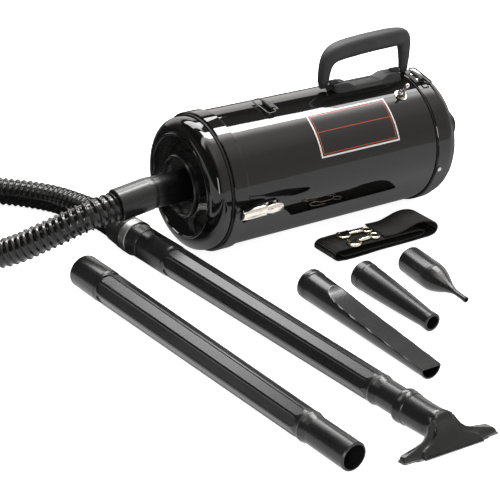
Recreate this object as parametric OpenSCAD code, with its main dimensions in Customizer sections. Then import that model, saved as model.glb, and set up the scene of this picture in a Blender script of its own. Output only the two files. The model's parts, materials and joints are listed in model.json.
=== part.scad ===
// Portable canister vacuum and blower, laid out with its hose, wands, tools
// and shoulder strap.
// Machine frame: +X runs along the canister from its hose end to its blower
// end, -Y is the side with the label, +Z is up and the floor is z = 0. The
// canister lies on its two bands, and place() then centres the whole set.

/* [Canister] */
// Outer radius of the steel tube
tube_r = 89; // [80:0.5:100]
// Wall of the steel tube
tube_wall = 1.5; // [0.8:0.1:2.5]
// Length of tube that shows between the front rim and the rear cap
tube_len = 327; // [320:1:420]
// Height of the bands over the tube
band_proud = 2.5; // [1.5:0.1:3]
// Width of the front band
band_len = 21; // [14:0.5:21]
// Width of the rear cap's band
cap_band_len = 17; // [16:0.5:30]
// Depth of the rear cap's dome behind its band
cap_dome_len = 25; // [14:0.5:30]
// Number of rear cap screws
cap_screw_count = 3; // [2:1:6]

/* [Front cover] */
// Radial clearance between the cover's skirt and the tube's bore
skirt_gap = 0.3; // [0.2:0.05:0.6]
// Length of skirt that plugs into the tube
skirt_in = 12; // [8:0.5:16]
// Length of skirt that shows in front of the rim
skirt_out = 10; // [10:0.5:12]
// Depth of the dome in front of the skirt
dome_len = 16.5; // [10:0.5:20]
// Sheet thickness of the cover and the rear cap
sheet = 1.5; // [1:0.1:2]
// Radius of the thin bead round the flat face
face_bead_r = 67; // [60:0.5:70]
// Outer radius of the port collar
collar_r = 41; // [38:0.5:50]

/* [Hose] */
// Outer radius of the hose over its ribs
hose_r = 19; // [16:0.5:20]
// Radius of the hose between its ribs
hose_root_r = 16.6; // [15:0.1:18]
// Bore radius of the hose
hose_bore_r = 14; // [10:0.5:14.5]
// Number of ribs along the hose
hose_ribs = 182; // [60:1:200]
// Radius of the cuff where it enters the port
cuff_r = 20.6; // [18:0.1:21]
// Radius of the cuff's grip
cuff_grip_r = 21.4; // [21:0.1:24]
// Length of the cuff's grip
cuff_grip_len = 49; // [45:1:50]
// Downward droop of the cuff's grip, in degrees
cuff_droop = 7.5; // [6:0.5:9]
// Radius of the metal band at the far end of the hose
end_band_r = 22.8; // [22.4:0.1:24]

/* [Wands] */
// Length of a wand
wand_len = 503; // [480:1:510]
// Radius of a wand's fluted tube next to its bell
wand_r = 20.5; // [19:0.1:20.8]
// Radius of a wand's fluted tube next to its spigot
wand_end_r = 17.5; // [17.2:0.1:20]
// Radius of a wand's bell
bell_r = 21.1; // [21:0.1:22]
// Length of a wand's bell
bell_len = 55; // [46:1:70]
// Depth of the socket in a bell and in each tool
socket_len = 40; // [30:1:42]
// Radius of a spigot
spigot_r = 16.3; // [15:0.1:16.4]
// Length of a wand's spigot
spigot_len = 59; // [50:1:80]
// Running clearance of a spigot in a socket
spigot_gap = 0.1; // [0.05:0.01:0.1]
// Wall of the moulded tubes
tube_skin = 2.2; // [1.6:0.1:2.6]
// Number of flat channels round a wand
flute_count = 8; // [6:1:10]
// Depth of a channel
flute_depth = 0.9; // [0.4:0.1:1.2]
// Share of the wand's girth that its channels take
flute_share = 0.84; // [0.5:0.02:0.9]

/* [Tools] */
// Width of the floor nozzle's mouth
nozzle_w = 123; // [100:1:140]
// Number of teeth along the floor nozzle's front lip
nozzle_teeth = 24; // [10:1:30]
// Length of the crevice tool
crevice_len = 230; // [200:1:260]
// Width of the crevice tool's tip
crevice_w = 28; // [24:1:34]
// Length of the blower nozzle
cone_len = 135; // [100:1:150]
// Tip radius of the blower nozzle
cone_tip_r = 11; // [8:0.5:13]
// Length of the pin-point nozzle
pin_len = 122; // [100:1:140]
// Tip radius of the pin-point nozzle
pin_tip_r = 3.4; // [3:0.1:5]

/* [Handle] */
// Length of the handle's base
base_len = 112; // [104:1:112]
// Width of the base's foot
base_w = 35; // [30:1:40]
// Height of the base's screw bosses over the tube
base_h = 7; // [5:0.5:9]
// Height of the grip's middle over the tube
grip_h = 54.5; // [50:0.5:70]
// Thickness of the grip
grip_t = 26; // [20:0.5:28]
// Width of the grip
grip_w = 24; // [18:0.5:28]
// Radius of the handle's pivot pins
pivot_r = 2; // [1.5:0.1:2.5]

/* [Strap and fittings] */
// Width of the shoulder strap's webbing
web_w = 45; // [38:1:50]
// Thickness of the webbing
web_t = 2.2; // [1.4:0.1:2.4]
// Wire radius of the strap rings
ring_wire_r = 1.5; // [1:0.1:1.6]
// Width of a strap ring between its wire's middles
ring_w = 40; // [36:1:46]
// Length of a strap ring between its wire's middles
ring_len = 12; // [10:0.5:20]

/* [Hidden] */

fine = 96;
mid = 48;
low = 24;
seat = 0.05;                    // between parts that lie face to face
band_r = tube_r + band_proud;
axis_z = band_r;                // the canister lies on its two bands
bore_r = tube_r - tube_wall;
skirt_r = bore_r - skirt_gap;
face_x = -(skirt_out + dome_len);
cap_x = tube_len + 1;
cap_back = cap_x + cap_band_len;
dome_back = cap_back + cap_dome_len;
tube_back = cap_back - 3;
socket_r = spigot_r + spigot_gap;
port_r = cuff_r + spigot_gap;
set_mid = [110.7, -232.55];         // middle of the laid-out set without its hose

// ---- helpers ----

// Moves the middle of the set to the origin.
module place() {
    translate([-set_mid[0], -set_mid[1], 0]) children();
}

// Turns a profile of [radius, x] points about the canister's axis.
module turned(profile, steps = fine) {
    translate([0, 0, axis_z]) spun(profile, steps);
}

// Turns a profile of [radius, x] points about the local X axis.
module spun(profile, steps = mid) {
    rotate([0, 90, 0]) rotate_extrude($fn = steps) polygon(profile);
}

// A rod along local X.
module rod(r, x0, x1, steps = mid) {
    translate([x0, 0, 0]) rotate([0, 90, 0]) cylinder(r = r, h = x1 - x0, $fn = steps);
}

// A rod along local Y, centred on it.
module pin(r, length, steps = mid) {
    rotate([90, 0, 0]) cylinder(r = r, h = length, center = true, $fn = steps);
}

// Local Z points out of the canister at an angle that is 0 on the label
// side and 90 on top, and z is then the distance from the canister's axis.
module around(angle, x = 0) {
    translate([x, 0, axis_z]) rotate([90 - angle, 0, 0]) children();
}

// A box centred on X and Y between two heights.
module block(x, y, z0, z1) {
    translate([-x / 2, -y / 2, z0]) cube([x, y, z1 - z0]);
}

// A side view, drawn as [x, z] points, given a width along Y.
module slab(y0, y1, points) {
    translate([0, y1, 0]) rotate([90, 0, 0]) linear_extrude(y1 - y0) polygon(points);
}

// Points of a quarter ellipse from [r0, x0] to [r1, x1].
function shoulder(r0, x0, r1, x1, n = 10) =
    [for (i = [0:n]) [r1 + (r0 - r1) * cos(90 * i / n), x0 + (x1 - x0) * sin(90 * i / n)]];

function backwards(list) = [for (i = [len(list) - 1:-1:0]) list[i]];

// A skin of triangles over rings with the same number of points. It is
// capped at both ends, or joined into a loop.
module skin(rings, looped = false) {
    n = len(rings[0]);
    m = len(rings);
    points = [for (ring = rings) each ring];
    sides = [for (i = [0:m - (looped ? 1 : 2)], j = [0:n - 1])
        let (k = (j + 1) % n, u = i * n, v = ((i + 1) % m) * n)
        each [[u + j, v + k, u + k], [u + j, v + j, v + k]]];
    ends = looped ? [] : [for (j = [1:n - 2])
        each [[0, j, j + 1], [(m - 1) * n, (m - 1) * n + j + 1, (m - 1) * n + j]]];
    polyhedron(points, concat(sides, ends));
}

// A ring of points round c: half width a along Y and half height b along the
// direction that leans from Z toward X. A power of 1 is an ellipse, and a
// smaller one is squarer.
function oblong(c, a, b, lean, power = 1, n = 32) =
    [for (j = [0:n - 1])
        let (t = 360 * j / n,
             u = a * sign(cos(t)) * pow(abs(cos(t)), power),
             v = b * sign(sin(t)) * pow(abs(sin(t)), power))
        [c[0] + v * sin(lean), c[1] + u, c[2] + v * cos(lean)]];

// The same ring, given by its top and bottom points in the X-Z plane.
function rib_ring(top, bottom, a, power = 1, n = 32) =
    let (d = top - bottom)
    oblong([(top[0] + bottom[0]) / 2, 0, (top[1] + bottom[1]) / 2], a, norm(d) / 2,
           atan2(d[0], d[1]), power, n);

// ---- canister shell ----

handle_x = tube_len - 63;
screw_pitch = 69.5;
screw_r = 2.4;
switch_x = tube_len - 32.5;
switch_angle = 61;
bushing_r = 5.9;
key_x = tube_len - 41;
key_angle = 57;
front_clip = [103.5, 82];       // rivet position along X, and angle
rear_clip = [tube_len + 7.6, 76.5];
clip_pitch = 13;                // between a clip's two rivets
rivet_r = 1.5;
latch_angles = [-8.5, 188.5];
latch_rivets_x = [46, 58];
latch_rivets_y = 7.2;
cap_screw_x = cap_x + 4;
cap_screw_angle = -12.6;
cap_screw_r = 1.6;
gland_r = 8;
gland_reach = 42;               // from the axis to the cord gland

module rivet_holes(clip, base_r) {
    around(clip[1], clip[0])
        for (side = [-1, 1])
            translate([0, side * clip_pitch / 2, base_r - 8])
                cylinder(r = rivet_r + seat, h = 14, $fn = low);
}

module latch_holes(r = rivet_r + seat, z0 = tube_r - 5, z1 = tube_r + 6) {
    for (a = latch_angles, x = latch_rivets_x, side = [-1, 1])
        around(a, x) translate([0, side * latch_rivets_y, z0]) cylinder(r = r, h = z1 - z0, $fn = low);
}

module cap_screw_holes(r = cap_screw_r + seat, z0 = tube_r - 6, z1 = band_r + 3) {
    for (i = [0:cap_screw_count - 1])
        around(cap_screw_angle + 360 * i / cap_screw_count, cap_screw_x)
            translate([0, 0, z0]) cylinder(r = r, h = z1 - z0, $fn = low);
}

module housing_tube() {
    color([0.03, 0.03, 0.03])
    difference() {
        turned([[bore_r, 2], [tube_r, 2], [tube_r, tube_back], [bore_r, tube_back]]);
        for (side = [-1, 1])
            translate([handle_x + side * screw_pitch / 2, 0, axis_z])
                cylinder(r = screw_r + seat, h = tube_r + 5, $fn = low);
        around(switch_angle, switch_x)
            translate([0, 0, bore_r - 5]) cylinder(r = bushing_r + seat, h = 12, $fn = mid);
        around(key_angle, key_x)
            translate([0, 0, bore_r - 5]) cylinder(r = 1.5, h = 12, $fn = low);
        latch_holes();
        cap_screw_holes();
        rivet_holes(front_clip, tube_r);
        rivet_holes(rear_clip, tube_r);
    }
}

// A rolled band that stiffens the tube's front edge.
module front_band() {
    color([0.035, 0.035, 0.035])
    turned([[bore_r, 0.8], [bore_r + 0.8, 0], [band_r - 0.9, 0], [band_r, 1],
            [band_r, band_len - 1.2], [band_r - 0.8, band_len], [tube_r + seat, band_len],
            [tube_r + seat, 2 - seat], [bore_r, 2 - seat]]);
}

slot_x = -7.5;                  // middle of the slot that a latch hook grips
slot_len = 4.6;
slot_w = 13;

// A domed cover with a bead round its flat face and two latch slots.
module front_cover() {
    flat_x = face_x + 1.6;
    color([0.03, 0.03, 0.03])
    difference() {
        turned(concat([[skirt_r, skirt_in]],
            shoulder(skirt_r, -skirt_out, face_bead_r + 2, face_x),
            [[face_bead_r + 1.5, face_x - 0.9], [face_bead_r - 0.5, face_x - 0.9],
             [face_bead_r - 1, flat_x], [collar_r - 3, flat_x], [collar_r - 3, flat_x + sheet],
             [face_bead_r - 1, flat_x + sheet]],
            backwards(shoulder(skirt_r - sheet, -skirt_out, face_bead_r + 2, face_x + sheet)),
            [[skirt_r - sheet, skirt_in]]));
        for (a = latch_angles)
            around(a, slot_x) block(slot_len, slot_w, skirt_r - 5, skirt_r + 5);
    }
}

port_front = face_x - 2.5;
port_back = 8;

// The collar that the hose plugs into: a bead, a dished mouth and a tube.
module port_collar() {
    seat_x = face_x + 1.6 - seat;
    color([0.05, 0.05, 0.05])
    turned([[collar_r, seat_x], [collar_r, port_front + 1.4], [collar_r - 1.2, port_front],
            [collar_r - 3, port_front], [collar_r - 4, port_front + 1.2],
            [collar_r - 5.5, port_front + 5.5], [collar_r - 9.5, port_front + 9],
            [port_r + 3.5, port_front + 11.5], [port_r, port_front + 13.2],
            [port_r, port_back], [port_r + 2.5, port_back], [port_r + 2.5, port_front + 15],
            [collar_r - 9, port_front + 12], [collar_r - 3 - seat, port_front + 8],
            [collar_r - 3 - seat, seat_x]]);
}

gasket_r = skirt_r + 1.7;

module cover_gasket() {
    color([0.02, 0.02, 0.02])
    turned([[skirt_r + seat, -2.4], [gasket_r, -2.4], [gasket_r, -0.2], [skirt_r + seat, -0.2]]);
}

fan_x = [tube_len - 159, tube_len - 105];
bag_back = fan_x[0] - 18;
bag_r = 70;
bag_mouth_r = port_r + 2.5 + seat;

module bag_collar() {
    color([0.7, 0.6, 0.4])
    turned([[bag_mouth_r, 4.8], [46, 4.8], [46, 7], [bag_mouth_r, 7]], mid);
}

// A paper bag, open at its mouth and rounded at its far end.
module dust_bag() {
    wall = 2;
    color([0.8, 0.76, 0.66])
    turned([[bag_mouth_r + 2, 7 + seat], [44, 7 + seat], [bag_r - 6, 20], [bag_r, 36],
            [bag_r, bag_back - 28], [bag_r - 12, bag_back - 8], [30, bag_back], [0, bag_back],
            [0, bag_back - wall], [29, bag_back - wall], [bag_r - 13.2, bag_back - 9.6],
            [bag_r - wall, bag_back - 29], [bag_r - wall, 37], [bag_r - 7.6, 21.6],
            [43, 7 + wall], [bag_mouth_r + 2, 7 + wall]], mid);
}

blow_r = 19;
blow_back = dome_back + 52;
cap_step_r = band_r - 2;
cap_flat_r = 66;

// The rear cap: a band that slides over the tube and a stepped dome.
module rear_cap() {
    inner_x = cap_back - sheet;
    color([0.03, 0.03, 0.03])
    difference() {
        turned(concat(
            [[tube_r + seat, cap_x], [band_r - 0.7, cap_x], [band_r, cap_x + 0.8],
             [band_r, cap_back - 1.2], [band_r - 1.2, cap_back], [cap_step_r, cap_back]],
            shoulder(cap_step_r, cap_back + 4, cap_flat_r, dome_back),
            [[blow_r + seat, dome_back], [blow_r + seat, dome_back - sheet]],
            backwards(shoulder(cap_step_r - sheet, cap_back + 4, cap_flat_r, dome_back - sheet)),
            [[cap_step_r - sheet, inner_x], [tube_r + seat, inner_x]]));
        cap_screw_holes();
        rivet_holes(rear_clip, tube_r);
        gland_place() rod(gland_r + seat, -20, 20);
    }
}

// The gasket that closes the joint between the tube and the rear cap.
module rear_gasket() {
    color([0.01, 0.01, 0.01])
    turned([[tube_r + seat, cap_x - 1.2], [band_r - 1.1, cap_x - 1.2],
            [band_r - 1.1, cap_x - seat], [tube_r + seat, cap_x - seat]]);
}

// The blower outlet: a flanged sleeve seated in the cap from inside.
module blower_port() {
    inside = dome_back - sheet - seat;
    color([0.05, 0.05, 0.05])
    turned([[socket_r, inside - 8], [blow_r - 2.5, inside - 8], [blow_r + 6, inside - 2.4],
            [blow_r + 6, inside], [blow_r, inside], [blow_r, blow_back - 1.2],
            [blow_r - 1.2, blow_back], [socket_r + 1, blow_back], [socket_r, blow_back - 1]], mid);
}

module cap_screws() {
    color([0.5, 0.5, 0.5])
    union() {
        cap_screw_holes(cap_screw_r, tube_r - 4, band_r + 1);
        cap_screw_holes(3, band_r + seat, band_r + 1.7);
    }
}

module gland_place() {
    translate([dome_back, 0, axis_z]) rotate([-90 - 20, 0, 0]) translate([0, 0, gland_reach]) children();
}

// A strain-relief sleeve for the supply cord, on the cap's far lower side.
module cord_gland() {
    color([0.02, 0.02, 0.02])
    gland_place() spun([[3.6, -9], [gland_r + 2.2, -9], [gland_r + 2.2, -sheet - seat],
                        [gland_r, -sheet - seat], [gland_r, seat], [gland_r + 1.5, seat],
                        [gland_r + 1.5, 2], [6.4, 3], [5.2, 14], [3.6, 14]], low);
}

label_x = [tube_len - 190, tube_len - 62];
label_angles = [21.6, 61.9];

module label_plate() {
    color([0.86, 0.86, 0.86])
    around(label_angles[1]) rotate([0, 90, 0])
        rotate([0, 0, 180]) rotate_extrude(angle = label_angles[1] - label_angles[0], $fn = 240)
            polygon([[tube_r + seat, label_x[0]], [tube_r + 0.35, label_x[0]],
                     [tube_r + 0.35, label_x[1]], [tube_r + seat, label_x[1]]]);
}

// ---- handle ----

tube_top = axis_z + tube_r;
pivot_z = tube_top + 7.8;
base_x = [handle_x - base_len / 2, handle_x + base_len / 2];
knuckle_r = 5;
leg_front_x = handle_x - 67.5;
leg_rear_x = handle_x + 67.5;
leg_half = [4.5, 5.5];          // half thickness of the front and the rear leg

// The base follows the tube: two screw bosses, a recess between them and a
// knuckle at each end for the pivots.
module handle_base() {
    top = tube_top + base_h;
    floor_z = tube_top + 2.2;
    color([0.05, 0.05, 0.05])
    difference() {
        union() {
            intersection() {
                slab(-base_w / 2, base_w / 2,
                    [[base_x[0], tube_top - 6], [base_x[1], tube_top - 6], [base_x[1], top - 2],
                     [base_x[1] - 4, top], [base_x[1] - 16, top], [base_x[1] - 30, floor_z],
                     [base_x[0] + 30, floor_z], [base_x[0] + 16, top], [base_x[0] + 4, top],
                     [base_x[0], top - 2]]);
                translate([base_x[0] - 1, 0, 0]) rotate([90, 0, 90]) linear_extrude(base_len + 2)
                    polygon([[-base_w / 2, tube_top - 6], [base_w / 2, tube_top - 6],
                             [base_w / 2, tube_top - 0.5], [base_w / 2 - 5, tube_top + 2.2],
                             [base_w / 2 - 7.5, top], [7.5 - base_w / 2, top],
                             [5 - base_w / 2, tube_top + 2.2], [-base_w / 2, tube_top - 0.5]]);
                translate([handle_x, 0, 0]) linear_extrude(tube_top + 20)
                    offset(7, $fn = mid) square([base_len - 14, base_w - 14], center = true);
            }
            for (end = [[base_x[0] - 2, base_x[0] + 12], [base_x[1] - 12, base_x[1] + 2]])
                translate([0, 0, pivot_z]) rod(knuckle_r, end[0], end[1], 32);
        }
        translate([0, 0, axis_z]) rod(tube_r + seat, base_x[0] - 5, base_x[1] + 5, 192);
        for (side = [-1, 1]) translate([handle_x + side * screw_pitch / 2, 0, 0]) {
            cylinder(r = screw_r + seat, h = tube_top + 20, $fn = low);
            translate([0, 0, top - 2.6]) cylinder(r = 4.6, h = 10, $fn = mid);
        }
        for (end = [[base_x[0] - 3, base_x[0] + 10], [base_x[1] - 10, base_x[1] + 3]])
            translate([0, 0, pivot_z]) rod(pivot_r + seat, end[0], end[1], 32);
    }
}

module handle_screws() {
    top = tube_top + base_h;
    color([0.6, 0.6, 0.58])
    for (side = [-1, 1]) translate([handle_x + side * screw_pitch / 2, 0, 0])
        difference() {
            union() {
                translate([0, 0, tube_top - 8]) cylinder(r = screw_r, h = base_h + 6, $fn = low);
                translate([0, 0, top - 2.6 + seat]) cylinder(r1 = 4.2, r2 = 3.2, h = 2.2, $fn = mid);
            }
            translate([0, 0, top - 1.1]) block(1, 10, 0, 3);
        }
}

module handle_pins() {
    color([0.6, 0.6, 0.58])
    translate([0, 0, pivot_z]) {
        rod(pivot_r, leg_front_x - leg_half[0] - 1, base_x[0] + 9.5, 32);
        rod(pivot_r, base_x[1] - 9.5, leg_rear_x + leg_half[1] + 1, 32);
    }
}

// The carrying handle: a thick grip on two flat legs.
module handle_bail() {
    grip_z = tube_top + grip_h;
    leg_w = 7;
    eye_r = 5;
    color([0.04, 0.04, 0.04])
    difference() {
        union() {
            skin([
                oblong([leg_front_x, 0, pivot_z], eye_r, leg_half[0], -90, 0.6),
                oblong([leg_front_x, 0, pivot_z + 16], leg_w, leg_half[0], -90, 0.6),
                oblong([leg_front_x + 1, 0, grip_z - 18], leg_w + 0.4, leg_half[0] + 0.2, -84, 0.65),
                oblong([leg_front_x + 5.5, 0, grip_z - 9], grip_w * 0.42, grip_t * 0.34, -60, 0.75),
                oblong([leg_front_x + 13, 0, grip_z - 2.5], grip_w * 0.48, grip_t * 0.44, -32, 0.8),
                oblong([leg_front_x + 27, 0, grip_z], grip_w / 2, grip_t / 2, -4, 0.85),
                oblong([handle_x - 12, 0, grip_z + 0.8], grip_w / 2, grip_t / 2, -1, 0.85),
                oblong([handle_x + 16, 0, grip_z + 0.8], grip_w / 2, grip_t / 2, 1, 0.85),
                oblong([leg_rear_x - 30, 0, grip_z], grip_w / 2, grip_t / 2, 4, 0.85),
                oblong([leg_rear_x - 14, 0, grip_z - 1.5], grip_w * 0.48, grip_t * 0.46, 24, 0.8),
                oblong([leg_rear_x - 4.5, 0, grip_z - 7], grip_w * 0.42, grip_t * 0.36, 56, 0.75),
                oblong([leg_rear_x - 0.8, 0, grip_z - 17], leg_w + 0.6, leg_half[1] + 0.7, 84, 0.65),
                oblong([leg_rear_x, 0, pivot_z + 16], leg_w, leg_half[1], 90, 0.6),
                oblong([leg_rear_x, 0, pivot_z], eye_r, leg_half[1], 90, 0.6)
            ]);
            translate([0, 0, pivot_z]) {
                rod(eye_r - 0.2, leg_front_x - leg_half[0], leg_front_x + leg_half[0], 32);
                rod(eye_r - 0.2, leg_rear_x - leg_half[1], leg_rear_x + leg_half[1], 32);
            }
        }
        translate([0, 0, pivot_z]) {
            rod(pivot_r + seat, leg_front_x - 10, leg_front_x + 10, 32);
            rod(pivot_r + seat, leg_rear_x - 10, leg_rear_x + 10, 32);
        }
    }
}

// ---- switch ----

lever_pivot = tube_r + 2.6;
lever_tilt = 12;
lever_ball = 3.2;

module switch_body() {
    color([0.1, 0.1, 0.1])
    around(switch_angle, switch_x) difference() {
        union() {
            block(22, 13, tube_r - 24, tube_r - 4);
            translate([0, 0, tube_r - 4.1]) cylinder(r = bushing_r, h = 8.6, $fn = mid);
        }
        translate([0, 0, lever_pivot - lever_ball - 0.7]) cylinder(r = lever_ball + 0.3, h = 12, $fn = mid);
    }
}

module switch_nut() {
    color([0.75, 0.74, 0.72])
    around(switch_angle, switch_x) difference() {
        union() {
            translate([0, 0, tube_r + 0.15]) cylinder(r = 8.6, h = 0.8, $fn = mid);
            translate([0, 0, tube_r + 0.9]) cylinder(r = 7.4, h = 2.6, $fn = 6);
        }
        cylinder(r = bushing_r + seat, h = tube_r + 10, $fn = mid);
    }
}

// The bat lever of the toggle switch.
module switch_lever() {
    color([0.78, 0.77, 0.74])
    around(switch_angle, switch_x) translate([0, 0, lever_pivot]) rotate([0, lever_tilt, 0])
        rotate_extrude($fn = 32)
            polygon(concat([for (a = [-90:15:45]) lever_ball * [cos(a), sin(a)]],
                [[1.8, 4.4], [2.2, 8], [3.1, 14.5], [2.9, 17], [1.7, 18.6], [0, 19]]));
}

// ---- strap rings ----

knuckle_wall = 1;
ring_clear = 0.1;

// A rectangle of wire. Its hinge side lies on local Y.
module wire_ring(span, reach) {
    corner = 4;
    r = ring_wire_r;
    for (side = [-1, 1]) {
        translate([corner, side * span / 2, 0]) rod(r, 0, reach - 2 * corner, 12);
        for (x = [0, 1])
            translate([x == 0 ? corner : reach - corner, side * (span / 2 - corner), 0])
                rotate([0, 0, x == 0 ? (side > 0 ? 90 : 180) : (side > 0 ? 0 : 270)])
                    rotate_extrude(angle = 90, $fn = 32) translate([corner, 0]) circle(r = r, $fn = 12);
    }
    for (x = [0, reach]) translate([x, 0, 0]) pin(r, span - 2 * corner, 20);
}

hinge_lift = ring_wire_r + ring_clear + knuckle_wall + 0.2;

// Stands children on a clip's hinge: dir is -1 where the ring points forward.
module at_hinge(clip, base_r, dir) {
    around(clip[1], clip[0] + dir * 4.5) translate([0, 0, base_r + hinge_lift]) children();
}

// A riveted strip whose rolled edge holds a strap ring.
module ring_clip(clip, base_r, dir) {
    hinge_r = ring_wire_r + ring_clear;
    color([0.03, 0.03, 0.03])
    difference() {
        union() {
            at_hinge(clip, base_r, dir) pin(hinge_r + knuckle_wall, clip_pitch + 9, 32);
            around(clip[1], clip[0]) intersection() {
                block(11, clip_pitch + 9, base_r - 4, base_r + 1.6);
                rod(base_r + 1.3, -8, 8, 192);
            }
        }
        translate([clip[0], 0, axis_z]) rod(base_r + seat, -12, 12, 192);
        at_hinge(clip, base_r, dir) pin(hinge_r, 60, 32);
        rivet_holes(clip, base_r);
    }
    color([0.75, 0.74, 0.72])
    around(clip[1], clip[0]) for (side = [-1, 1]) translate([0, side * clip_pitch / 2, 0]) {
        translate([0, 0, base_r - 6]) cylinder(r = rivet_r, h = 8, $fn = low);
        translate([0, 0, base_r + 1.15])
            rotate_extrude($fn = low) polygon([[0, 0], [2.5, 0], [2.2, 0.8], [1.2, 1.4], [0, 1.6]]);
    }
}

module front_ring_clip() { ring_clip(front_clip, tube_r, -1); }

module rear_ring_clip() { ring_clip(rear_clip, band_r, 1); }

// A ring lies on its band or tube, tipped down from its hinge.
module strap_ring(clip, base_r, dir) {
    drop = asin((hinge_lift - ring_wire_r - 0.3) / ring_len);
    at_hinge(clip, base_r, dir) rotate([0, 0, dir < 0 ? 180 : 0]) rotate([0, drop, 0])
        wire_ring(ring_w, ring_len);
}

module front_ring() {
    color([0.45, 0.44, 0.42]) strap_ring(front_clip, tube_r, -1);
}

module rear_ring() {
    color([0.45, 0.44, 0.42]) strap_ring(rear_clip, band_r, 1);
}

// ---- latches ----

lift = 4;                       // a latch's pivots over the band
latch_z = band_r + lift;
latch_x = 12.5;
crank = 10;                     // from a lever's pivot to its hook pin
latch_pin_r = 1.5;
hook_half = 5.5;
ear = [5.9, 7.1];
lug = [7.5, 9];
lug_r = 3.2;

// The plate riveted to the tube, with two lugs that carry the lever.
module latch_base(angle) {
    plate_z = band_r + 0.2;
    color([0.04, 0.04, 0.04])
    around(angle) difference() {
        union() {
            translate([43, 0, 0]) block(38, 20, tube_r - 3, plate_z);
            for (side = [-1, 1]) {
                slab(side > 0 ? lug[0] : -lug[1], side > 0 ? lug[1] : -lug[0],
                    [[24, plate_z - 2], [36, plate_z - 2], [36, plate_z], [latch_x + 1, latch_z + lug_r],
                     [latch_x - 2, latch_z + 2.6], [latch_x - lug_r, latch_z],
                     [latch_x - 2, latch_z - 2.6], [latch_x, latch_z - lug_r],
                     [24, latch_z - lug_r]]);
                translate([latch_x, side * (ear[0] + lug[1] + 0.8) / 2, latch_z])
                    pin(latch_pin_r, lug[1] + 0.8 - ear[0], low);
            }
        }
        rod(tube_r + seat, 0, 100, 192);
        for (x = latch_rivets_x, side = [-1, 1]) translate([x, side * latch_rivets_y, 0])
            cylinder(r = rivet_r + seat, h = 120, $fn = low);
    }
}

module latch_base_near() { latch_base(latch_angles[0]); }

module latch_base_far() { latch_base(latch_angles[1]); }

module latch_rivets() {
    color([0.7, 0.69, 0.66])
    union() {
        latch_holes(rivet_r, tube_r - 3.5, band_r + 0.8);
        latch_holes(2.3, band_r + 0.2 + seat, band_r + 1.1);
    }
}

// The over-centre lever: two ears on the pivot, a hook pin and a finger tab.
module latch_lever(angle) {
    tip = [70, latch_z - 1.6];
    top = [latch_x, latch_z + lug_r];
    thick = 1.2;
    slot_end = 28;
    step_x = 44;
    slope = (tip[1] - top[1]) / (tip[0] - top[0]);
    step_z = top[1] + slope * (step_x - top[0]);
    slot_z = top[1] + slope * (slot_end - top[0]);
    color([0.78, 0.77, 0.74])
    around(angle) {
        for (side = [-1, 1]) difference() {
            slab(side > 0 ? ear[0] : -ear[1], side > 0 ? ear[1] : -ear[0],
                [[latch_x - 2.4, latch_z + 2.2], [latch_x, latch_z + lug_r], [step_x, step_z],
                 [step_x, step_z - 2.4], [latch_x + crank + 3, latch_z - 2.9],
                 [latch_x, latch_z - lug_r + 0.2], [latch_x - 2.4, latch_z - 2.1],
                 [latch_x - lug_r, latch_z]]);
            translate([latch_x, 0, latch_z]) pin(latch_pin_r + seat, 40, low);
        }
        slab(-ear[1], ear[1], [[slot_end, slot_z], [step_x, step_z], [step_x, step_z - thick],
                               [slot_end, slot_z - thick]]);
        slab(-4.6, 4.6, [[step_x - 2, step_z - thick * 0.1], [tip[0] - 8, tip[1] + 0.7],
                         [tip[0], tip[1] + 1.6], [tip[0], tip[1] + 0.4],
                         [tip[0] - 8, tip[1] - 0.5], [step_x - 2, step_z - thick]]);
        translate([latch_x + crank, 0, latch_z]) pin(latch_pin_r, 2 * ear[1] - 0.4, low);
    }
}

module latch_lever_near() { latch_lever(latch_angles[0]); }

module latch_lever_far() { latch_lever(latch_angles[1]); }

// The hook reaches over the band and drops into the cover's slot.
module latch_hook(angle) {
    under = band_r + 0.7;
    thick = 1.4;
    lip_x = slot_x - slot_len / 2 + 0.2;
    color([0.7, 0.69, 0.66])
    around(angle) difference() {
        union() {
            slab(-hook_half, hook_half,
                [[lip_x, skirt_r - 1], [lip_x + thick, skirt_r - 1], [lip_x + thick, under],
                 [latch_x + crank - 1, under], [latch_x + crank, under + 0.4],
                 [latch_x + crank, under + thick], [lip_x + 1, under + thick],
                 [lip_x, under + thick - 1]]);
            translate([latch_x + crank, 0, latch_z]) pin(3, 2 * hook_half, 32);
        }
        translate([latch_x + crank, 0, latch_z]) pin(latch_pin_r + seat, 40, low);
    }
}

module latch_hook_near() { latch_hook(latch_angles[0]); }

module latch_hook_far() { latch_hook(latch_angles[1]); }

// ---- motor ----

fan_can_r = 68;
shaft_r = 4;
bearing_r = 9;
bearings_x = [[fan_x[1] + 1, fan_x[1] + 8], [fan_x[1] + 82, fan_x[1] + 89]];
core_x = [fan_x[1] + 14, fan_x[1] + 54];
core_r = 24;
commutator_x = [fan_x[1] + 62, fan_x[1] + 77];
commutator_r = 12;

// The wall between the bag and the motor.
module motor_bulkhead() {
    wall_x = fan_x[0] - 10;
    color([0.35, 0.35, 0.35])
    turned([[34, wall_x], [bore_r - 0.15, wall_x], [bore_r - 0.15, wall_x + 10],
            [bore_r - 1.6, wall_x + 10], [bore_r - 1.6, wall_x + 2], [34, wall_x + 2]]);
}

module motor_cushion() {
    front = fan_x[0] - 8 + seat;
    color([0.08, 0.08, 0.08])
    turned([[50, front], [66, front], [66, fan_x[0] - seat], [50, fan_x[0] - seat]], mid);
}

// The can round the two fan wheels, open at its eye.
module fan_shell() {
    r = fan_can_r;
    color([0.7, 0.7, 0.7])
    turned([[24, fan_x[0]], [r - 2, fan_x[0]], [r, fan_x[0] + 2], [r, fan_x[1]],
            [r - 1.4, fan_x[1]], [r - 1.4, fan_x[0] + 2.6], [r - 2.6, fan_x[0] + 1.4],
            [24, fan_x[0] + 1.4]], 64);
}

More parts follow.
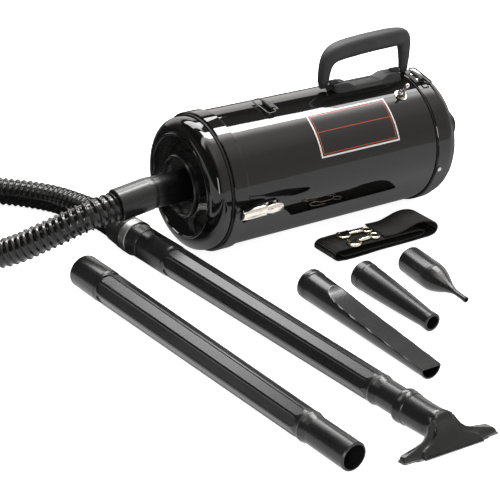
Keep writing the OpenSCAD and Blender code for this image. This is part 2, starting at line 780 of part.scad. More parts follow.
// Two shrouded fan wheels with curved blades.
module fan_wheels() {
    wheel_r = 60;
    blades = 7;
    color([0.72, 0.72, 0.72])
    for (x = [fan_x[0] + 6, fan_x[0] + 30]) {
        turned([[shaft_r + seat, x], [9, x], [9, x + 12], [wheel_r, x + 12], [wheel_r, x + 13.2],
                [shaft_r + seat, x + 13.2]], 64);
        turned([[24, x], [wheel_r, x + 3.4], [wheel_r, x + 4.6], [24, x + 1.2]], 64);
        translate([0, 0, axis_z]) for (i = [0:blades - 1])
            rotate([360 * i / blades, 0, 0]) translate([x + 1, 0, 0])
                rotate([90, 0, 90]) linear_extrude(11.5) intersection() {
                    translate([20, 26]) difference() {
                        circle(r = 39, $fn = mid);
                        circle(r = 38, $fn = mid);
                    }
                    translate([0, -wheel_r]) square([wheel_r, wheel_r]);
                    difference() {
                        circle(r = wheel_r - 0.5, $fn = mid);
                        circle(r = 26, $fn = mid);
                    }
                }
    }
}

// The two end frames and the four posts between them.
module motor_frame() {
    color([0.6, 0.6, 0.6])
    union() {
        turned([[shaft_r + 1, fan_x[1] - 3], [fan_can_r - 1.5, fan_x[1] - 3],
                [fan_can_r - 1.5, fan_x[1]], [fan_can_r, fan_x[1]], [fan_can_r, fan_x[1] + 2],
                [16, fan_x[1] + 2], [14, bearings_x[0][1]], [bearing_r + seat, bearings_x[0][1]],
                [bearing_r + seat, bearings_x[0][0]], [shaft_r + 1, bearings_x[0][0]]], 64);
        turned([[bearing_r + seat, bearings_x[1][0]], [14, bearings_x[1][0]],
                [14, bearings_x[1][1] + 2], [shaft_r + 1, bearings_x[1][1] + 2],
                [shaft_r + 1, bearings_x[1][1]], [bearing_r + seat, bearings_x[1][1]]], mid);
        for (a = [45:90:315]) translate([0, 0, axis_z]) rotate([a, 0, 0]) {
            translate([0, 0, 50]) rod(4, fan_x[1] + 1, bearings_x[1][1], low);
            translate([(bearings_x[1][0] + bearings_x[1][1]) / 2, 0, 0]) block(6, 8, 13, 50);
        }
    }
}

module motor_bearings() {
    color([0.75, 0.75, 0.75])
    for (x = bearings_x)
        turned([[shaft_r + seat, x[0] + seat], [bearing_r, x[0] + seat], [bearing_r, x[1] - seat],
                [shaft_r + seat, x[1] - seat]], mid);
}

// The field: a stack of laminations with two coils.
module motor_field() {
    color([0.45, 0.3, 0.18])
    union() {
        turned([[core_r + 1, core_x[0]], [44, core_x[0]], [44, core_x[1]], [core_r + 1, core_x[1]]], mid);
        for (side = [-1, 1]) translate([(core_x[0] + core_x[1]) / 2, 0, axis_z + side * 35])
            block(core_x[1] - core_x[0] + 14, 34, -6, 6);
    }
}

brush_len = 26.5;
brush_mid = commutator_r + 0.3 + brush_len / 2;

module brush_holders() {
    color([0.3, 0.2, 0.1])
    for (side = [-1, 1])
        translate([(commutator_x[0] + commutator_x[1]) / 2, side * brush_mid, axis_z])
            block(9, brush_len, -5, 5);
}

// Shaft, wound core and commutator.
module armature() {
    c = core_x;
    k = commutator_x;
    front = fan_x[0] + 2;
    back = bearings_x[1][1] + 1;
    color([0.5, 0.35, 0.2])
    turned([[0, front], [shaft_r - 1, front], [shaft_r, front + 1], [shaft_r, c[0] - 5], [18, c[0] - 4],
            [core_r - 3, c[0]], [core_r, c[0]], [core_r, c[1]], [core_r - 3, c[1]],
            [18, c[1] + 4], [9, c[1] + 5], [9, k[0]], [commutator_r, k[0]],
            [commutator_r, k[1]], [shaft_r, k[1]], [shaft_r, back], [0, back]], mid);
}

// ---- hose ----

// Where the hose leaves its cuff, and where it meets the far cuff.
cuff_turn = -70;
hose_exit = [-119, 0, 85];
wand_z = end_band_r;
wand_angle = -85.95;
wand_start = [-76, -9, wand_z];
wand_drop = 0.33;               // the wand slopes down to its nozzle, in degrees
wand_dir = [cos(wand_drop) * cos(wand_angle), cos(wand_drop) * sin(wand_angle), -sin(wand_drop)];
end_cuff = [-72, -26];          // the hose's far cuff, along the wand's axis
end_ring = [-35, -27];
hose_end = wand_start + end_cuff[0] * wand_dir;
hose_end_in = hose_end - 2 * hose_r * wand_dir;

// The hose's middle line: out of the cuff, down to the floor, round one open
// loop and back under the cuff to the wand.
route = [hose_exit, [-157, 0, 80], [-176, 7, 72], [-193, 16, 62], [-211, 28, 51],
         [-230, 44, 37], [-250, 62, 26], [-274, 79, 21.5], [-302, 93, 20.5], [-346, 102, 20.5],
         [-400, 99, 20.5], [-452, 95, 20.5], [-528, 110, 20.5], [-592, 153, 20.5],
         [-635, 218, 20.5], [-650, 294, 20.5], [-635, 370, 20.5], [-592, 435, 20.5],
         [-528, 478, 20.5], [-450, 492, 20.5], [-372, 474, 20.5], [-306, 428, 20.5],
         [-252, 370, 20.5], [-202, 308, 20.5], [-162, 258, 20.5], [-132, 226, 20.5],
         [-108, 190, 20.8], [-94, 148, 21.8], hose_end_in, hose_end];

function unit(v) = v / norm(v);

// The route's direction at point i, from its two neighbours.
function heading(i) = let (n = len(route) - 1)
    i == 0 ? unit(route[1] - route[0]) : i == n ? unit(route[n] - route[n - 1]) :
    let (a = route[i] - route[i - 1], b = route[i + 1] - route[i])
    unit(a / norm(a) * norm(b) + b / norm(b) * norm(a));

// A point of the smooth curve between points i and i + 1, with t from 0 to 1.
function on_route(i, t) =
    let (p = route[i], q = route[i + 1], h = norm(q - p), u = heading(i) * h, v = heading(i + 1) * h)
    p * (2 * t * t * t - 3 * t * t + 1) + u * (t * t * t - 2 * t * t + t)
    + q * (3 * t * t - 2 * t * t * t) + v * (t * t * t - t * t);

route_steps = 12;
fine_line = concat([for (i = [0:len(route) - 2], k = [0:route_steps - 1]) on_route(i, k / route_steps)],
                   [route[len(route) - 1]]);
run = [for (i = 0, s = 0; i < len(fine_line);
            s = s + (i + 1 < len(fine_line) ? norm(fine_line[i + 1] - fine_line[i]) : 0), i = i + 1) s];
hose_len = run[len(run) - 1];

// The curve's point at distance s from the exit.
function at_run(s, lo = 0, hi = len(run) - 1) =
    hi - lo < 2 ? let (f = (s - run[lo]) / (run[hi] - run[lo]))
                  fine_line[lo] * (1 - f) + fine_line[hi] * f :
    let (m = floor((lo + hi) / 2)) s < run[m] ? at_run(s, lo, m) : at_run(s, m, hi);

// A ring of eight points round the curve at distance s.
function hose_ring(s, r) =
    let (a = at_run(max(s - 3, 0)), b = at_run(min(s + 3, hose_len)), c = at_run(s),
         d = unit(b - a), side = unit(cross(d, [0, 0, 1])), up = cross(side, d))
    [for (j = [0:7]) c + r * (cos(45 * j + 22.5) * side + sin(45 * j + 22.5) * up)];

gap_line = [for (k = [0:119]) at_run(hose_len * k / 119)];
hose_gap = min([for (i = [0:119], j = [i + 8:1:119]) norm(gap_line[i] - gap_line[j])]) - 2 * hose_r;
echo(str("hose length ", round(hose_len), " mm, least gap to itself ", round(hose_gap * 10) / 10, " mm"));  // hose

// The ribbed hose, with its bore.
module hose() {
    pitch = (hose_len - 1) / hose_ribs;
    outer = [for (i = [0:hose_ribs - 1])
        each [hose_ring(0.5 + i * pitch, hose_root_r), hose_ring(0.5 + (i + 0.5) * pitch, hose_r)]];
    inner = [for (k = [70:-1:0]) hose_ring(0.5 + (hose_len - 1) * k / 70, hose_bore_r)];
    color([0.06, 0.06, 0.06])
    skin(backwards(concat(outer, [hose_ring(hose_len - 0.5, hose_root_r)], inner)), looped = true);
}

// A ring round the cuff's middle line: x from its elbow, and how far it droops.
function cuff_ring(x, r, droop = 0) =
    [for (j = [0:63]) let (y = r * cos(5.625 * j), z = r * sin(5.625 * j))
        [cuff_turn + x * cos(droop) - z * sin(droop), y, x * sin(droop) + z * cos(droop)]];

// The cuff at the canister: straight in the port and drooping outside it.
module hose_cuff() {
    seated = 3 - cuff_turn;
    bore = hose_bore_r + 3;
    color([0.05, 0.05, 0.05])
    translate([0, 0, axis_z]) difference() {
        skin([cuff_ring(-cuff_grip_len, cuff_grip_r - 0.8, cuff_droop),
              cuff_ring(0.8 - cuff_grip_len, cuff_grip_r, cuff_droop), cuff_ring(-3, cuff_grip_r, cuff_droop),
              cuff_ring(0, (cuff_grip_r + cuff_r) / 2, cuff_droop / 2), cuff_ring(3, cuff_r),
              cuff_ring(seated, cuff_r), cuff_ring(seated + 1, cuff_r - 1)]);
        skin([cuff_ring(-60, bore, cuff_droop), cuff_ring(-3, bore, cuff_droop),
              cuff_ring(0, bore, cuff_droop / 2), cuff_ring(3, bore), cuff_ring(seated + 7, bore)]);
    }
}

// Turns local X along the attached wand, from the bell's mouth.
module along_wand() {
    translate(wand_start) rotate([0, wand_drop, wand_angle]) children();
}

// The far cuff turns on a sleeve that ends in a spigot.
module hose_end_cuff() {
    color([0.05, 0.05, 0.05])
    along_wand() spun([[hose_bore_r, end_cuff[0]], [cuff_r - 0.6, end_cuff[0]],
        [cuff_r, end_cuff[0] + 0.8], [cuff_r + 1.5, end_cuff[0] + 20], [end_band_r - 0.1, end_cuff[0] + 23],
        [end_band_r, end_cuff[0] + 26], [end_band_r, end_ring[0] - 1], [end_band_r - 0.6, end_ring[0] - seat],
        [spigot_r, end_ring[0] - seat], [spigot_r, end_ring[1] + seat], [end_band_r - 1, end_ring[1] + seat],
        [end_band_r - 1, end_ring[1] + 4], [bell_r + 0.2, end_ring[1] + 6], [bell_r + 0.2, -4],
        [bell_r - 0.6, -3.4], [bell_r - 0.6, -1.6], [bell_r - 0.1, -1], [bell_r - 0.1, -0.3],
        [spigot_r, -0.3], [spigot_r, socket_len - 3], [spigot_r - 1, socket_len - 2],
        [spigot_r - 2.4, socket_len - 2], [spigot_r - 2.4, -5], [hose_bore_r, -12]], 64);
}

module hose_end_band() {
    color([0.72, 0.72, 0.72])
    along_wand() spun([[spigot_r + seat, end_ring[0] + seat], [end_band_r - 0.7, end_ring[0] + seat],
        [end_band_r, end_ring[0] + 0.8], [end_band_r, end_ring[1] - 0.8],
        [end_band_r - 0.7, end_ring[1] - seat], [spigot_r + seat, end_ring[1] - seat]], 64);
}

// ---- wands ----

shoulder_len = 12;
tube_end = wand_len - spigot_len - shoulder_len;

// The tube's radius at x: it tapers from the bell to the shoulder.
function wand_at(x) = wand_r + (wand_end_r - wand_r) * (x - bell_len) / (tube_end - bell_len);

// Flat channels along the fluted part, with run-out ends.
module wand_flutes(x0, x1) {
    half = 180 * flute_share / flute_count;
    ends = [[0, 0.02], [3, 0.7], [7, 1]];
    spots = concat([for (e = ends) [x0 + e[0], e[1]]], backwards([for (e = ends) [x1 - e[0], e[1]]]));
    for (i = [0:flute_count - 1])
        rotate([360 * (i + 0.5) / flute_count, 0, 0])
            skin([for (e = spots)
                let (w = wand_at(e[0]) * sin(half) * sqrt(e[1]), z = wand_at(e[0]) * cos(half) - flute_depth * 0.55,
                     rim = z + 0.45 * flute_depth * (2 - e[1]))
                [[e[0], w, z + 4], [e[0], -w, z + 4], [e[0], -w, rim],
                 [e[0], -w * 0.85, z], [e[0], w * 0.85, z], [e[0], w, rim]]]);
}

// A wand along local X: bell, fluted tube, shoulder and spigot.
module wand() {
    difference() {
        spun([[socket_r + 1, 0], [bell_r - 0.8, 0], [bell_r, 0.8], [bell_r, bell_len - 3],
              [wand_r, bell_len], [wand_end_r, tube_end], [wand_end_r + 0.5, tube_end + 1.5],
              [wand_end_r + 0.5, tube_end + 3], [wand_end_r - 0.3, tube_end + 6],
              [spigot_r - 0.4, tube_end + shoulder_len], [spigot_r - 0.4, tube_end + shoulder_len + 2],
              [spigot_r, tube_end + shoulder_len + 2.4], [spigot_r, wand_len - 1.2],
              [spigot_r - 1, wand_len], [spigot_r - 2.4, wand_len],
              [spigot_r - 2.4, socket_len + 4], [socket_r, socket_len], [socket_r, 1]], 64);
        wand_flutes(bell_len + 2, tube_end - 3);
    }
}

module wand_attached() {
    color([0.04, 0.04, 0.04]) along_wand() wand();
}

module wand_spare() {
    tilt = atan((bell_r - wand_end_r - 0.5) / (tube_end - bell_len + 6));
    color([0.04, 0.04, 0.04])
    translate([-179.6, -27, bell_r * cos(tilt) + (bell_len - 3) * sin(tilt)]) rotate([0, tilt, -86.16]) wand();
}

// ---- tools ----

nozzle_grip = 31;               // how far the wand goes into the nozzle

// The floor nozzle: a socket, a neck that turns down and a fanned mouth.
module floor_nozzle() {
    half = nozzle_w / 2;
    neck_r = 17.5;
    neck_z = wand_z + (wand_len - nozzle_grip + 20) * wand_dir[2];
    top = neck_z + neck_r;
    under = neck_z - neck_r;
    line = [ // top point, lower point, half width, squareness
        [[34, top], [34, under], neck_r, 1], [[46, top], [42, under + 0.5], neck_r, 1],
        [[54, top - 0.6], [47, under + 2], neck_r + 0.6, 0.95],
        [[60, 32.5], [50, 6.8], neck_r + 2.5, 0.85], [[64, 25.5], [52, 7.6], neck_r + 6.5, 0.8],
        [[66.5, 19], [54, 8], neck_r + 12, 0.75], [[69, 14], [56, 8.2], half * 0.56, 0.7],
        [[72, 11], [59, 8], half * 0.72, 0.6], [[75, 9], [61, 7], half * 0.88, 0.45],
        [[76.8, 7.6], [62, 6], half * 0.96, 0.3], [[77, 3.2], [62, 3], half * 0.97, 0.25],
        [[79.5, 2.6], [60, 2.4], half, 0.2], [[79.5, 0.1], [60, 0.1], half, 0.2]];
    collar = [[0, 19], [0.8, 19.6], [5, 19.6], [6, 19], [12, 19], [13, 18.4]];
    skin_t = 2.2;
    spread = nozzle_w - 8;
    start = wand_start + (wand_len - nozzle_grip) * wand_dir;
    color([0.04, 0.04, 0.04])
    translate([start[0], start[1], 0]) rotate([0, 0, wand_angle]) difference() {
        union() {
            skin(concat(
                [for (c = collar) rib_ring([c[0], neck_z + c[1]], [c[0], neck_z - c[1]], c[1], 1, 48)],
                [for (r = line) rib_ring(r[0], r[1], r[2], r[3], 48)]));
            for (i = [0:nozzle_teeth - 1])
                translate([79, spread * (i / (nozzle_teeth - 1) - 0.5), 0.1]) block(2.6, 1.8, 0, 3.4);
        }
        translate([0, 0, start[2]]) rotate([0, wand_drop, 0]) rod(socket_r, -1, nozzle_grip + 1, 64);
        skin([for (r = line)
            let (u = unit(r[0] - r[1]) * skin_t,
                 out = [r[0][0] < 36 ? nozzle_grip - 36 : 0, r[0][1] < 1 ? -1 : 0])
            rib_ring(r[0] - u + out, r[1] + u + out, r[2] - skin_t, r[3], 48)]);
    }
}

// The crevice tool: round at its socket, with a long flat cut along the top
// that leaves a D-shaped mouth.
module crevice_tool() {
    half = crevice_w / 2;
    base = 19.6;
    skin_t = 1.8;
    end_z = 15;
    line = [[0, base], [46, 18.2], [90, 16.9], [crevice_len + 1, half]];
    cut = [[48, 34.5], [55, 31.5], [67, 28.4], [86, 25.6], [crevice_len + 1, end_z]];
    function pipe(x, a, drop) = [for (j = [0:31]) [x, a * cos(11.25 * j), a + drop + a * sin(11.25 * j)]];
    color([0.06, 0.06, 0.06])
    translate([39.7, -197, 0.1]) rotate([0, 0, -90]) difference() {
        union() {
            intersection() {
                skin([for (r = line) pipe(r[0], r[1], 0)]);
                slab(-30, 30, concat([[-1, -1], [crevice_len, -1], [crevice_len, end_z]],
                                     backwards([for (c = cut) if (c[0] < crevice_len) c]),
                                     [[45, 60], [-1, 60]]));
            }
            translate([0, 0, base]) spun([[socket_r + 1, 0], [base - 0.6, 0], [base + 0.1, 0.8],
                [base + 0.1, 10], [base - 0.4, 11], [socket_r + 1, 11]], 64);
        }
        translate([0, 0, base]) rod(socket_r, -1, socket_len, 64);
        intersection() {
            skin([pipe(socket_len - 1, 18.4 - skin_t, skin_t), pipe(90, 16.9 - skin_t, skin_t),
                  pipe(crevice_len + 2, half - skin_t, skin_t)]);
            slab(-30, 30, concat([[30, -1], [crevice_len + 2, -1]],
                                 backwards([for (c = cut) c + [c[0] > 100 ? 1 : 0, -skin_t]]), [[30, 34.5 - skin_t]]));
        }
    }
}

// The blower nozzle: a bulged taper with a collar at each end.
module blower_nozzle() {
    base = 18.6;
    tip = cone_tip_r + 0.6;
    tilt = atan((base - tip) / (cone_len - 11));
    bulge = [for (i = [0:8]) let (f = i / 8) [18 + (cone_tip_r - 18) * pow(f, 1.25), 13 + (cone_len - 22) * f]];
    color([0.05, 0.05, 0.05])
    translate([112, -208, base * cos(tilt) + 11 * sin(tilt)]) rotate([0, tilt, -89.6])
        spun(concat([[socket_r + 1, 0], [base - 0.6, 0], [base, 0.8], [base, 11], [18.2, 12]], bulge,
            [[tip, cone_len - 8], [tip, cone_len - 0.6], [tip - 0.6, cone_len],
             [cone_tip_r - 2.4, cone_len], [cone_tip_r - 2.4, cone_len - 9], [socket_r - 1, socket_len + 4],
             [socket_r, socket_len], [socket_r, 1]]), 64);
}

// The pin-point nozzle: a cylinder that narrows to a thin spout.
module pin_nozzle() {
    body = 18.2;
    wall = 1.7;
    neck = [48, 104];
    function spout(f) = pin_tip_r + (body - pin_tip_r) * (1 + cos(180 * f)) / 2;
    function out(f, x = 0) = [spout(f), neck[0] + (neck[1] - neck[0]) * f + x];
    color([0.05, 0.05, 0.05])
    translate([189.8, -207, body]) rotate([0, 0, -96]) spun(concat(
        [[socket_r + 0.6, 0], [body - 0.5, 0], [body, 0.5]], [for (i = [0:12]) out(i / 12)],
        [[pin_tip_r, pin_len - 3], [pin_tip_r + 0.5, pin_len - 2.4], [pin_tip_r + 0.3, pin_len],
         [pin_tip_r - 1.2, pin_len]],
        [for (i = [11:-1:2]) [max(spout(i / 12) - wall, pin_tip_r - 1.2), out(i / 12)[1] - 1.2]],
        [[socket_r, socket_len], [socket_r, 0.6]]), 64);
}

// ---- shoulder strap ----

web_y = -113.5;

// The folded webbing, seen from its side: [x, z] along its middle.
web_line = [[207, 18.8], [232, 18.6], [244, 21.5], [256, 24.6], [270, 25.4], [284, 22.4],
            [294, 16.6], [297, 10.5], [294.5, 4.6], [286, 1.8], [272, 1.3], [200, 1.3], [138, 1.3],
            [129, 3], [124.6, 7.4], [125.6, 12.6], [131, 15.4], [140, 15.9], [200, 15.2],
            [240, 14.6], [262, 14], [271, 12.2], [274, 9.2], [270, 6.6], [262, 5.8], [200, 5.8], [138, 6]];

function web_side(s) = let (n = len(web_line) - 1)
    [for (i = [0:n]) let (a = web_line[max(i - 1, 0)], b = web_line[min(i + 1, n)], d = unit(b - a))
        web_line[i] + s * web_t / 2 * [-d[1], d[0]]];

module strap_webbing() {
    color([0.03, 0.03, 0.03])
    slab(web_y - web_w / 2, web_y + web_w / 2, concat(web_side(1), backwards(web_side(-1))));
}

hook_t = 4.4;
gate_at = [18, -7.4];
gate_pin_r = 1;
hooks = [[187.5, -127.5, 186], [189.5, -106.5, 177]];   // x, y and turn of each hook
hook_z = web_line[17][1] + web_t / 2 + 0.1;

module at_hook(i) {
    translate([hooks[i][0], hooks[i][1], hook_z]) rotate([0, 0, hooks[i][2]]) children();
}

// A snap hook: an eye for the webbing, a stem and an open hook.
module snap_hook(i) {
    color([0.75, 0.7, 0.62])
    at_hook(i) {
        difference() {
            linear_extrude(hook_t) {
                difference() {
                    union() {
                        translate([-8, 0]) circle(r = 8, $fn = mid);
                        translate([-3, -3.2]) square([24, 6.4]);
                        translate([29, 0]) circle(r = 9.8, $fn = mid);
                    }
                    translate([-8, 0]) circle(r = 5.2, $fn = mid);
                    translate([29, 0]) circle(r = 6.4, $fn = mid);
                    translate([20.5, -12]) square([12, 8.4]);
                }
                translate(gate_at) circle(r = 2.8, $fn = low);
                translate([16.6, -7]) square([2.8, 4.4]);
            }
            translate([gate_at[0], gate_at[1], hook_t / 2]) block(40, 7.4, -1.2, 1.2);
        }
        translate([gate_at[0], gate_at[1], 0.2]) cylinder(r = gate_pin_r, h = hook_t - 0.4, $fn = low);
    }
}

module snap_hook_left() { snap_hook(0); }

module snap_hook_right() { snap_hook(1); }

// The spring gate that closes a hook's mouth.
module hook_gate(i) {
    color([0.75, 0.7, 0.62])
    at_hook(i) translate([gate_at[0], gate_at[1], hook_t / 2 - 0.9])
        linear_extrude(1.8) difference() {
            union() {
                circle(r = 2.2, $fn = low);
                translate([0, -1.4]) square([15.6, 2.8]);
            }
            circle(r = gate_pin_r + seat, $fn = low);
        }
}

module hook_gate_left() { hook_gate(0); }

module hook_gate_right() { hook_gate(1); }

place() housing_tube();
place() front_band();
place() front_cover();
place() port_collar();
place() cover_gasket();
place() dust_bag();
place() bag_collar();
place() rear_cap();
place() rear_gasket();
place() blower_port();
place() cap_screws();
place() cord_gland();
place() label_plate();
place() handle_base();
place() handle_screws();
place() handle_pins();
place() handle_bail();
place() switch_body();
place() switch_nut();
place() switch_lever();
place() front_ring_clip();
place() rear_ring_clip();
place() front_ring();
place() rear_ring();
place() latch_base_near();
place() latch_base_far();
place() latch_rivets();
place() latch_lever_near();
place() latch_lever_far();
place() latch_hook_near();
place() latch_hook_far();
place() motor_bulkhead();
place() motor_cushion();
place() fan_shell();
place() motor_field();
place() motor_frame();
place() motor_bearings();
place() brush_holders();
place() armature();
place() fan_wheels();
place() hose();
place() hose_cuff();
place() hose_end_cuff();
place() hose_end_band();
place() wand_attached();
place() floor_nozzle();
place() wand_spare();
place() crevice_tool();
place() blower_nozzle();
place() pin_nozzle();
place() strap_webbing();
place() snap_hook_left();
place() snap_hook_right();
place() hook_gate_left();
place() hook_gate_right();
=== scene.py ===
# %% [markdown]
# # A portable canister vacuum, laid out with its kit
# A black canister with a carrying handle lies on a pale table. A ribbed hose
# runs from its front cover in one wide loop to a wand with a floor nozzle, and
# a second wand, three small tools and a folded shoulder strap lie in front.
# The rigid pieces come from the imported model. This lesson adds their finishes,
# and builds in mesh code what looks soft, wound or softly moulded.

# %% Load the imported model
import json
import math

import bpy
import numpy as np
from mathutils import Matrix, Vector


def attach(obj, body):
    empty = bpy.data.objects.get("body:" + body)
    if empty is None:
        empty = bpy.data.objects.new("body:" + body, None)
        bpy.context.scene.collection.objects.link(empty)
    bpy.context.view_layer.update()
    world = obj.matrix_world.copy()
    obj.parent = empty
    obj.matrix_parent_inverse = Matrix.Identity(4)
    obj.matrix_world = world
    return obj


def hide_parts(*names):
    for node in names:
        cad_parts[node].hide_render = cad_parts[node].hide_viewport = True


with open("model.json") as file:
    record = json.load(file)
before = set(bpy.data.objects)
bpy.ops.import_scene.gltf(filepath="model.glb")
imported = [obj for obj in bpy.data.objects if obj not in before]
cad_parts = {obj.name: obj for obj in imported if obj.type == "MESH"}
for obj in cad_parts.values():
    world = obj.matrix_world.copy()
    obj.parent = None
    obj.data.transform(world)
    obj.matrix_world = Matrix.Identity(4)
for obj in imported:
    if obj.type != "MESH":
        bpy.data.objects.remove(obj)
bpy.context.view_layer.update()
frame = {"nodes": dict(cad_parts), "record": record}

# %% [markdown]
# ## One drawing frame
# The canister was drawn with its axis at y = 0 and its tube starting at x = 2,
# in millimetres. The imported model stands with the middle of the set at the
# origin, in metres. `mm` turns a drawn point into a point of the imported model.

# %% Drawn millimetres to metres
SET_MIDDLE = np.array([110.7, -232.55, 0.0])
AXIS_Z = 91.5      # the canister's axis over the table
TUBE_R = 89.0      # the painted tube
BAND_R = 91.5      # its end bands


def mm(x, y, z):
    """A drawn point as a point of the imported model, in metres."""
    return (np.array([x, y, z], float) - SET_MIDDLE) / 1000


def unit(v):
    """The vector's direction, with length 1."""
    return v / np.linalg.norm(v)


def turns(count, shift=0.0):
    """Evenly spaced angles round a circle."""
    return [2 * math.pi * (j + shift) / count for j in range(count)]


def bulge(t, power):
    """A cosine and sine pulled toward a square as power falls from 1."""
    return tuple(math.copysign(abs(w) ** power, w) for w in (math.cos(t), math.sin(t)))


# %% [markdown]
# ## The camera
# A long lens from a low seat, turned a third of a right angle to the left of
# the canister's side, so that the hose leaves the view on the left.

# %% Camera
lens = bpy.data.cameras.new("camera")
lens.lens = 108.0
lens.sensor_width = 36.0
camera = bpy.data.objects.new("camera", lens)
camera.location = mm(-948.35, -1505.57, 839.61)
camera.rotation_euler = [math.radians(a) for a in (64.62847, -1.26086, -33.87680)]
bpy.context.collection.objects.link(camera)
bpy.context.scene.camera = camera
print("camera at", [round(c, 3) for c in camera.location])

# %% [markdown]
# ## Meshes from rings
# Most pieces here are tubes or mouldings: a row of rings with the same number
# of points, joined by four-sided faces. `loft` joins them, with lids or as a
# closed loop, and `add_piece` puts the result in the scene, smooth shaded.
# `settle` then says which body it rides on, which finish it gets and which
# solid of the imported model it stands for.

# %% Loft helpers


def add_piece(name, points, faces, sharp=None):
    """A mesh object from points in metres; edges steeper than sharp stay crisp."""
    mesh = bpy.data.meshes.new(name)
    mesh.from_pydata([tuple(p) for p in points], [], faces)
    mesh.update()
    for face in mesh.polygons:
        face.use_smooth = True
    if sharp is not None:
        mesh.set_sharp_from_angle(angle=math.radians(sharp))
    piece = bpy.data.objects.new(name, mesh)
    bpy.context.collection.objects.link(piece)
    return piece


def loft(rings, looped=False):
    """Points and faces of rings joined in a row with lids, or in a closed loop."""
    count = len(rings[0])
    points = [p for ring in rings for p in ring]
    last = len(rings) if looped else len(rings) - 1
    faces = []
    for i in range(last):
        a, b = i * count, (i + 1) % len(rings) * count
        for j in range(count):
            k = (j + 1) % count
            faces.append((a + j, a + k, b + k, b + j))
    if not looped:
        faces.append(tuple(reversed(range(count))))
        faces.append(tuple(range((len(rings) - 1) * count, len(rings) * count)))
    return points, faces


def joined(parts):
    """Several point and face lists as one."""
    points, faces = [], []
    for more, more_faces in parts:
        faces += [tuple(k + len(points) for k in face) for face in more_faces]
        points += list(more)
    return points, faces


DRESSED = []       # every piece that is made here, with its finish


def settle(piece, body, slot, *solids):
    """Joins a piece to its body, its finish and the solids that it replaces."""
    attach(piece, body)
    if solids:
        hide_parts(*solids)
    DRESSED.append((piece, slot))
    print(piece.name, "on", body, "with", len(piece.data.vertices), "points")


# %% [markdown]
# ## The hose's line
# A hose is a fixed length of something springy. Its line is given by a few
# points: out of the cuff, down to the table, round one open loop, and back
# under the cuff to the wand. Between the points runs a cubic curve whose
# direction at each point comes from its neighbours.

# %% Hose route
WAND_START = np.array([-76.0, -9.0, 22.8])
WAND_TURN, WAND_DROP = math.radians(-85.95), math.radians(0.33)
WAND_DIR = np.array([math.cos(WAND_DROP) * math.cos(WAND_TURN),
                     math.cos(WAND_DROP) * math.sin(WAND_TURN), -math.sin(WAND_DROP)])
HOSE_R, ROOT_R, BORE_R, RIBS = 19.0, 16.6, 14.0, 182
HOSE_END = WAND_START - 72 * WAND_DIR
ROUTE = [np.array(p, float) for p in [
    (-119, 0, 85), (-157, 0, 80), (-176, 7, 72), (-193, 16, 62), (-211, 28, 51),
    (-230, 44, 37), (-250, 62, 26), (-274, 79, 21.5), (-302, 93, 20.5), (-346, 102, 20.5),
    (-400, 99, 20.5), (-452, 95, 20.5), (-528, 110, 20.5), (-592, 153, 20.5),
    (-635, 218, 20.5), (-650, 294, 20.5), (-635, 370, 20.5), (-592, 435, 20.5),
    (-528, 478, 20.5), (-450, 492, 20.5), (-372, 474, 20.5), (-306, 428, 20.5),
    (-252, 370, 20.5), (-202, 308, 20.5), (-162, 258, 20.5), (-132, 226, 20.5),
    (-108, 190, 20.8), (-94, 148, 21.8)]] + [
    HOSE_END - 2 * HOSE_R * WAND_DIR, HOSE_END]


def smooth_line(knots, steps=12):
    """A curve through the knots, as a dense row of points."""
    last = len(knots) - 1

    def heading(i):
        if i == 0 or i == last:
            near = knots[1] - knots[0] if i == 0 else knots[last] - knots[last - 1]
            return unit(near)
        a, b = knots[i] - knots[i - 1], knots[i + 1] - knots[i]
        return unit(unit(a) * np.linalg.norm(b) + unit(b) * np.linalg.norm(a))

    line = []
    for i in range(last):
        p, q = knots[i], knots[i + 1]
        reach = np.linalg.norm(q - p)
        u, v = heading(i) * reach, heading(i + 1) * reach
        for k in range(steps):
            t = k / steps
            line.append(p * (2 * t**3 - 3 * t**2 + 1) + u * (t**3 - 2 * t**2 + t)
                        + q * (3 * t**2 - 2 * t**3) + v * (t**3 - t**2))
    return np.array(line + [knots[last]])


class Path:
    """A line that can be asked for its point and direction at any distance."""

    def __init__(self, line):
        self.line = np.array(line)
        gaps = np.linalg.norm(np.diff(self.line, axis=0), axis=1)
        self.run = np.concatenate([[0], np.cumsum(gaps)])
        self.length = self.run[-1]

    def at(self, s):
        return np.array([np.interp(s, self.run, self.line[:, i]) for i in range(3)])

    def frame(self, s, reach=3.0):
        """Point, direction, side and up at distance s."""
        d = unit(self.at(min(s + reach, self.length)) - self.at(max(s - reach, 0)))
        side = unit(np.cross(d, (0, 0, 1)))
        return self.at(s), d, side, np.cross(side, d)


hose_path = Path(smooth_line(ROUTE))
print("hose: %.3f m" % (hose_path.length / 1000))

# %% [markdown]
# ## The ribbed hose
# The hose is blow-moulded: narrow round crests stand on a thinner wall, with a
# faint ridge in the middle of each valley. One rib is eight rings with radii
# from a short profile, repeated along the line, and a plain bore closes it
# inside.

# %% Hose mesh
RIB_PROFILE = [(0.0, ROOT_R + 0.35), (0.12, ROOT_R), (0.26, ROOT_R + 0.1),
               (0.36, HOSE_R - 1.1), (0.44, HOSE_R - 0.2), (0.5, HOSE_R),
               (0.56, HOSE_R - 0.2), (0.64, HOSE_R - 1.1), (0.74, ROOT_R + 0.1),
               (0.88, ROOT_R)]


def tube_ring(path, s, radius, count=28):
    """A ring of points round a path, at distance s."""
    c, _, side, up = path.frame(s)
    return [mm(*(c + radius * (math.cos(t) * side + math.sin(t) * up))) for t in turns(count)]


